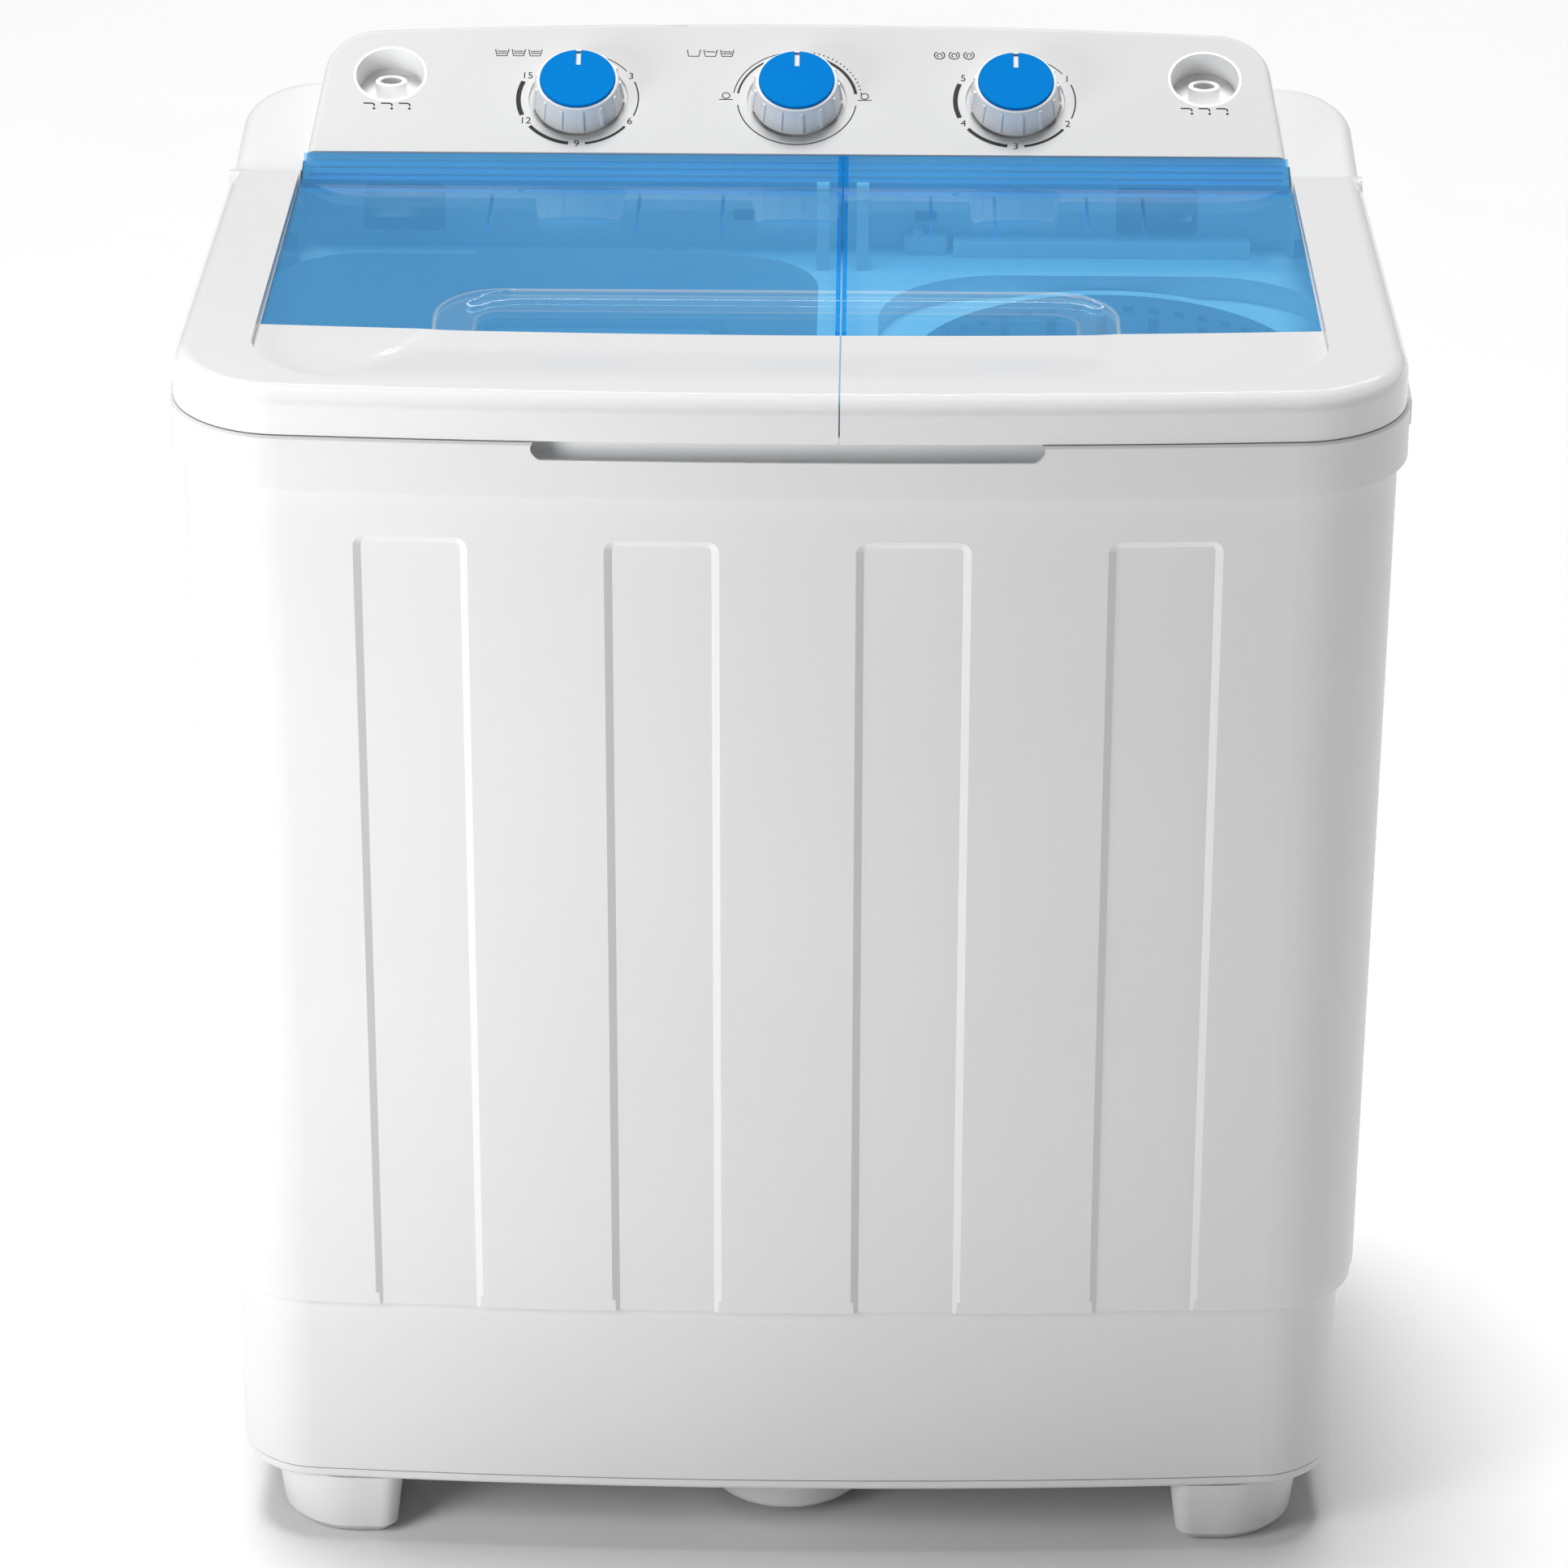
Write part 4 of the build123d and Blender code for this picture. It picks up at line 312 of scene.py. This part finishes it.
def edge_distance(x, y):
    """Distance in mm from a point to the dish's side and rear edges, 0 outside them."""
    nearest = 1e9
    inside = False
    for (ax, ay), (bx, by) in zip(DISH_RIM, DISH_RIM[1:] + DISH_RIM[:1]):
        if (ay > y) != (by > y) and x < ax + (y - ay) * (bx - ax) / (by - ay):
            inside = not inside
    for (ax, ay), (bx, by) in zip(DISH_RIM, DISH_RIM[1:]):
        along = ((x - ax) * (bx - ax) + (y - ay) * (by - ay)) / ((bx - ax) ** 2 + (by - ay) ** 2)
        along = min(1.0, max(0.0, along))
        nearest = min(nearest, hypot(x - ax - along * (bx - ax), y - ay - along * (by - ay)))
    return nearest if inside else 0.0


def dish_depth(x, y):
    """How far the dish lowers the lids' surface at a point given in mm."""
    slope = min(1.0, edge_distance(x, y) / DISH_SLOPE)
    front = min(1.0, max(0.0, (y - DISH_FRONT) / DISH_FRONT_SLOPE))
    return DISH_DEPTH * (1 - (1 - slope) ** 2) * front * front * (3 - 2 * front)


def cut(form, place, normal):
    """Cuts the faces round the dish along a plane."""
    low_x, high_x = dish_reach()
    touched = []
    for face in form.faces:
        xs = [vertex.co.x / MM for vertex in face.verts]
        ys = [vertex.co.y / MM for vertex in face.verts]
        beside = min(xs) > high_x or max(xs) < low_x
        before_or_behind = min(ys) > DISH_REAR + CUT_MARGIN or max(ys) < DISH_FRONT
        if not beside and not before_or_behind:
            touched.append(face)
    edges = {edge for face in touched for edge in face.edges}
    corners = {vertex for face in touched for vertex in face.verts}
    bmesh.ops.bisect_plane(form, geom=list(corners) + list(edges) + touched, dist=CUT_NEAR,
                           plane_co=place, plane_no=normal)


def dish_reach():
    """Lowest and highest x of the cuts, in mm."""
    xs = [x for x, _ in DISH_RIM]
    return min(xs) - CUT_MARGIN, max(xs) + CUT_MARGIN


def cut_grid(form):
    """Gives the lid enough faces for the dish: fine over its slopes, coarse over its floor."""
    for y in CUTS_DEEP:
        cut(form, (0, y * MM, 0), (0, 1, 0))
    x, high_x = dish_reach()
    while x <= high_x:
        cut(form, (x * MM, 0, 0), (1, 0, 0))
        x += COARSE_STEP if COARSE_FROM < x < COARSE_TO else FINE_STEP


def lid_underside(y):
    """Height of a window's flat underside at a depth y, or of its lip's underside further back."""
    flat = WINDOW_FRONT[1] + (y - WINDOW_FRONT[0]) * WINDOW_RISE - WINDOW_THICK
    lip = LIP_FRONT[1] + (y - LIP_FRONT[0]) * LIP_RISE - LIP_THICK
    return max(flat, lip)


def mark_ribs(form, node_name):
    """Deeper blue for a window's ribs and side walls, and for a bar along the seam between the lids."""
    low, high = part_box(node_name)
    seam = min(low.x, high.x, key=abs)
    inward = 1.0 if low.x + high.x > 0 else -1.0
    everything = list(form.verts) + list(form.edges) + list(form.faces)
    bmesh.ops.bisect_plane(form, geom=everything, dist=CUT_NEAR,
                           plane_co=(seam + inward * EDGE_BAR, 0, 0), plane_no=(1, 0, 0))
    for face in form.faces:
        centre = face.calc_center_median()
        at_seam = abs(centre.x - seam) < EDGE_BAR
        below = centre.z < lid_underside(centre.y) - RIB_STAND
        if at_seam or below or abs(face.normal.x) > SIDEWAYS:
            face.material_index = 1


def dished_lid(node_name, body, slot_name, rib_material=None):
    """Copy of a lid moulding with the dish pressed into it."""
    mesh = frame["nodes"][node_name].data.copy()
    mesh.name = node_name + "_dished"
    form = bmesh.new()
    form.from_mesh(mesh)
    bmesh.ops.remove_doubles(form, verts=form.verts, dist=WELD)
    cut_grid(form)
    if rib_material:
        mark_ribs(form, node_name)
    for vertex in form.verts:
        drop = dish_depth(vertex.co.x / MM, vertex.co.y / MM)
        vertex.co.z -= drop
        vertex.co.y += DISH_LEAN * drop
    for face in form.faces:
        face.smooth = True
    for edge in form.edges:
        if len(edge.link_faces) == 2:
            edge.smooth = edge.calc_face_angle(0.0) < SHARP
    mesh.materials.clear()
    mesh.materials.append(materials[slot_name])
    if rib_material:
        mesh.materials.append(materials[rib_material])
    form.to_mesh(mesh)
    form.free()
    lid = bpy.data.objects.new(mesh.name, mesh)
    bpy.context.scene.collection.objects.link(lid)
    weighted = lid.modifiers.new("weighted", "WEIGHTED_NORMAL")
    weighted.keep_sharp = True
    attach(lid, body)
    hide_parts(node_name)


for side in ("wash", "spin"):
    dished_lid(side + "_lid_frame", side + "_lid", "lid_white")
    dished_lid(side + "_lid_window", side + "_lid", "window_blue", "window_rib")


# ---------------------------------------------------------------- marks printed on the control face

def joint_named(name):
    return next(joint for joint in frame["joints"] if joint["name"] == name)


selector_joint = joint_named("selector_turn")
FACE_MIDDLE = Vector(selector_joint["pos_m"])
FACE_OUT = -Vector(selector_joint["axis"]).normalized()
FACE_UP = FACE_OUT.cross(Vector((1.0, 0.0, 0.0))).normalized()
PRINT_LIFT = 0.08 * MM
ARC_STEP = 4.0           # degrees to a straight piece of an arc
DOT_CORNERS = 12
DIGIT_SHARE = 0.7        # height of a digit over the size of its font


def on_face(x, up):
    """Point on the control face: x and up in mm from the middle knob's axis."""
    return FACE_MIDDLE + Vector((x * MM, 0.0, 0.0)) + FACE_UP * (up * MM) + FACE_OUT * PRINT_LIFT


class Print:
    """Collects flat printed shapes for one mesh."""

    def __init__(self):
        self.points = []
        self.faces = []

    def shape(self, outline):
        start = len(self.points)
        self.points += [on_face(x, up) for x, up in outline]
        self.faces.append(tuple(range(start, start + len(outline))))

    def strip(self, line, width):
        """Line of even width through the given points."""
        left, right = [], []
        for i, (x, up) in enumerate(line):
            ax, ay = line[max(0, i - 1)]
            bx, by = line[min(len(line) - 1, i + 1)]
            half = width / 2 / (hypot(bx - ax, by - ay) or 1.0)
            nx, ny = -(by - ay) * half, (bx - ax) * half
            left.append((x + nx, up + ny))
            right.append((x - nx, up - ny))
        for i in range(len(line) - 1):
            self.shape([left[i], right[i], right[i + 1], left[i + 1]])

    def arc(self, x, up, radius, start, stop, width):
        """Arc given by clock degrees: 0 is up, 90 to the right."""
        count = max(3, int((stop - start) / ARC_STEP))
        turns = [radians(start + (stop - start) * i / count) for i in range(count + 1)]
        self.strip([(x + radius * sin(t), up + radius * cos(t)) for t in turns], width)

    def dot(self, x, up, radius):
        turns = [2 * pi * i / DOT_CORNERS for i in range(DOT_CORNERS)]
        self.shape([(x + radius * sin(t), up + radius * cos(t)) for t in turns])

    def number(self, text, x, up, height):
        """Digits of the given height, centred on a point."""
        curve = bpy.data.curves.new("number", "FONT")
        curve.body = text
        curve.size = height / DIGIT_SHARE
        curve.align_x = "CENTER"
        curve.align_y = "CENTER"
        holder = bpy.data.objects.new("number", curve)
        flat = bpy.data.meshes.new_from_object(holder)
        start = len(self.points)
        self.points += [on_face(x + v.co.x, up + v.co.y) for v in flat.vertices]
        self.faces += [tuple(start + i for i in face.vertices) for face in flat.polygons]
        bpy.data.objects.remove(holder)
        bpy.data.curves.remove(curve)
        bpy.data.meshes.remove(flat)

    def build(self, name):
        mesh = bpy.data.meshes.new(name)
        mesh.from_pydata(self.points, [], self.faces)
        mesh.materials.append(materials["print_grey"])
        printed = bpy.data.objects.new(name, mesh)
        bpy.context.scene.collection.objects.link(printed)
        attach(printed, "cabinet")


# Everything printed is in mm and clock degrees.
PEN = 0.5
RING = 30.5
NUMBER_HEIGHT = 4.2
NUMBER_STEP = 60
NUMBER_GAP = 8           # from the middle of a number to the arc beside it
FIRST_ARC = 20
ARC_WIDTHS = (0.5, 0.7, 1.4, 2.0, 2.4)
TOP_DOT = 1.0


def timer_marks(marks, x, numbers):
    """Ring of numbers with arcs between them that get heavier with the time."""
    for i, text in enumerate(numbers):
        turn = radians(NUMBER_STEP * (i + 1))
        marks.number(text, x + RING * sin(turn), RING * cos(turn), NUMBER_HEIGHT)
    for i, width in enumerate(ARC_WIDTHS):
        start = max(FIRST_ARC, NUMBER_STEP * i + NUMBER_GAP)
        marks.arc(x, 0, RING, start, NUMBER_STEP * (i + 1) - NUMBER_GAP, width)
    marks.dot(x, RING, TOP_DOT)


SELECTOR_RING = 30.2
OUTER_RING = 32.4
BEAD_RING, BEADS, BEAD_R = 33.0, 16, 0.45
QUADRANT = (15, 82)
SIDE_RINGS = (-36.0, 34.5)
SIDE_RING_UP, SIDE_RING_R = 2.6, 1.9
SIDE_LINE = 7.0


def selector_marks(marks):
    """Three arcs, a row of beads, and a small ring over a line at each end of the selector's travel."""
    low, high = QUADRANT
    marks.arc(0, 0, SELECTOR_RING, 360 - high, 360 - low, 2 * PEN)
    marks.arc(0, 0, OUTER_RING, 360 - high, 360 - low, PEN)
    marks.arc(0, 0, SELECTOR_RING, low, high, 1.6)
    for i in range(BEADS):
        turn = radians(low + (high - low) * i / (BEADS - 1))
        marks.dot(BEAD_RING * sin(turn), BEAD_RING * cos(turn), BEAD_R)
    marks.arc(0, 0, SELECTOR_RING, 97, 263, 0.6)
    marks.dot(0, RING, TOP_DOT)
    for x in SIDE_RINGS:
        marks.arc(x, SIDE_RING_UP, SIDE_RING_R, 0, 360, PEN)
    for x in (SIDE_RINGS[0] - SIDE_LINE / 2, SIDE_RINGS[1] - SIDE_LINE / 2):
        marks.strip([(x, 0.0), (x + SIDE_LINE, 0.0)], PEN)


def tub_mark(marks, x, up, waves):
    """Tub outline with waves in it."""
    marks.strip([(x - 3.4, up + 2.2), (x - 2.6, up - 2.2), (x + 2.6, up - 2.2), (x + 3.4, up + 2.2)], 0.55)
    for row in range(waves):
        line = [(x - 2.4 + 0.4 * i, up + 0.9 - 1.4 * row + 0.35 * sin(1.6 * i)) for i in range(13)]
        marks.strip(line, 0.45)


def spin_mark(marks, x, up):
    """Open ring with a smaller one inside it."""
    marks.arc(x, up, 2.6, 30, 330, 0.55)
    marks.arc(x, up, 1.2, 200, 500, 0.5)


def tap_mark(marks, x, up):
    """Spout over a drop."""
    marks.strip([(x - 3.2, up + 1.6), (x + 1.2, up + 1.6), (x + 2.4, up + 0.9), (x + 2.4, up - 0.3)], 0.8)
    marks.dot(x + 2.4, up - 1.9, 0.7)


WASH_TITLE, SELECTOR_TITLE, SPIN_TITLE = -40.0, -53.0, -38.5
TITLES_UP, SELECTOR_TITLE_UP = 31.0, 31.5
TUB_STEP, SPIN_STEP, TAP_STEP = 8.5, 7.5, 9.0
TAPS_UP = -5.7


def panel_marks():
    """Dials round the three knobs, a row of pictograms beside each, and one under each inlet."""
    marks = Print()
    wash_x = (joint_named("wash_timer_turn")["pos_m"][0] - FACE_MIDDLE.x) / MM
    spin_x = (joint_named("spin_timer_turn")["pos_m"][0] - FACE_MIDDLE.x) / MM
    timer_marks(marks, wash_x, ("3", "6", "9", "12", "15"))
    timer_marks(marks, spin_x, ("1", "2", "3", "4", "5"))
    selector_marks(marks)
    for step in range(3):
        tub_mark(marks, wash_x + WASH_TITLE + TUB_STEP * step, TITLES_UP, 2)
        tub_mark(marks, SELECTOR_TITLE + TUB_STEP * step, SELECTOR_TITLE_UP, step)
        spin_mark(marks, spin_x + SPIN_TITLE + SPIN_STEP * step, TITLES_UP)
    for inlet in ("water_inlet_left", "water_inlet_right"):
        inlet_low, inlet_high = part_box(inlet)
        middle = ((inlet_low.x + inlet_high.x) / 2 - FACE_MIDDLE.x) / MM
        for step in (-1, 0, 1):
            tap_mark(marks, middle - 0.5 + TAP_STEP * step, TAPS_UP)
    marks.build("panel_print")


panel_marks()


# ---------------------------------------------------------------- camera, floor and light

LENS, SENSOR = 150.2, 36.0
CAMERA_PLACE = (0.0372, -3.011, 1.7845)
CAMERA_TILT = 0.4398     # down from level, in radians
LOOK_LEFT, LOOK_DOWN = 0.01233, 0.00377
CAMERA_ROLL = 0.002
FLOOR_REACH = 14.0
ROOM_GLOW = 0.08


def make_camera():
    data = bpy.data.cameras.new("camera")
    data.lens = LENS
    data.sensor_width = SENSOR
    camera = bpy.data.objects.new("camera", data)
    bpy.context.scene.collection.objects.link(camera)
    ahead = Vector((0.0, cos(CAMERA_TILT), -sin(CAMERA_TILT)))
    upward = Vector((0.0, sin(CAMERA_TILT), cos(CAMERA_TILT)))
    look = (ahead - LOOK_LEFT * Vector((1.0, 0.0, 0.0)) - LOOK_DOWN * upward).normalized()
    turn = look.to_track_quat("-Z", "Y").to_matrix() @ Matrix.Rotation(CAMERA_ROLL, 3, "Z")
    camera.matrix_world = Matrix.Translation(CAMERA_PLACE) @ turn.to_4x4()
    bpy.context.scene.camera = camera


def make_floor():
    mesh = bpy.data.meshes.new("studio_floor")
    corners = [(x * FLOOR_REACH, y * FLOOR_REACH, 0) for x, y in ((-1, -1), (1, -1), (1, 1), (-1, 1))]
    mesh.from_pydata(corners, [], [(0, 1, 2, 3)])
    floor = bpy.data.objects.new("studio_floor", mesh)
    bpy.context.scene.collection.objects.link(floor)
    mesh.materials.append(moulded("floor_paper", grey(0.74), grey(0.73), (0.8, 0.9), grain=200.0))


def make_room():
    """White behind everything, and a faint even glow on it."""
    world = bpy.data.worlds.new("studio_world")
    world.use_nodes = True
    nodes, links = world.node_tree.nodes, world.node_tree.links
    paper = nodes.new("ShaderNodeBackground")
    paper.inputs["Color"].default_value = (1.0, 1.0, 1.0, 1.0)
    room = nodes["Background"]
    room.inputs["Color"].default_value = (1.0, 1.0, 1.0, 1.0)
    room.inputs["Strength"].default_value = ROOM_GLOW
    seen = nodes.new("ShaderNodeLightPath")
    mix = nodes.new("ShaderNodeMixShader")
    links.new(seen.outputs["Is Camera Ray"], mix.inputs["Fac"])
    links.new(room.outputs["Background"], mix.inputs[1])
    links.new(paper.outputs["Background"], mix.inputs[2])
    links.new(mix.outputs["Shader"], nodes["World Output"].inputs["Surface"])
    bpy.context.scene.world = world


def softbox(name, place, target, size, watts, mirrored=False):
    """Rectangular lamp that faces its target; only a mirrored one shows in gloss."""
    light = bpy.data.lights.new(name, "AREA")
    light.shape = "RECTANGLE"
    light.size, light.size_y = size
    light.energy = watts
    lamp = bpy.data.objects.new(name, light)
    lamp.location = place
    lamp.rotation_euler = (Vector(target) - Vector(place)).to_track_quat("-Z", "Y").to_euler()
    lamp.visible_glossy = mirrored
    bpy.context.scene.collection.objects.link(lamp)


def make_lights():
    """Wide light from above, a key from the left, a weak fill from the right, and a strip for the edges."""
    sky = bpy.data.lights.new("overhead", "SUN")
    sky.energy = 3.95
    sky.angle = radians(28.0)
    overhead = bpy.data.objects.new("overhead", sky)
    overhead.visible_glossy = False
    overhead.rotation_euler = (radians(-9.0), radians(-3.0), 0.0)
    bpy.context.scene.collection.objects.link(overhead)
    softbox("key", (-0.87, -0.86, 0.58), (-0.32, -0.15, 0.20), (0.45, 0.8), 11.2)
    softbox("fill", (1.35, -0.35, 0.5), (0.29, -0.1, 0.36), (0.4, 0.8), 2.4)
    softbox("edge_strip", (0.1, 1.2, 2.0), (0.0, 0.0, 0.62), (2.2, 0.08), 5, mirrored=True)


bpy.context.scene.view_settings.view_transform = "Standard"
bpy.context.scene.view_settings.look = "None"
make_camera()
make_floor()
make_room()
make_lights()
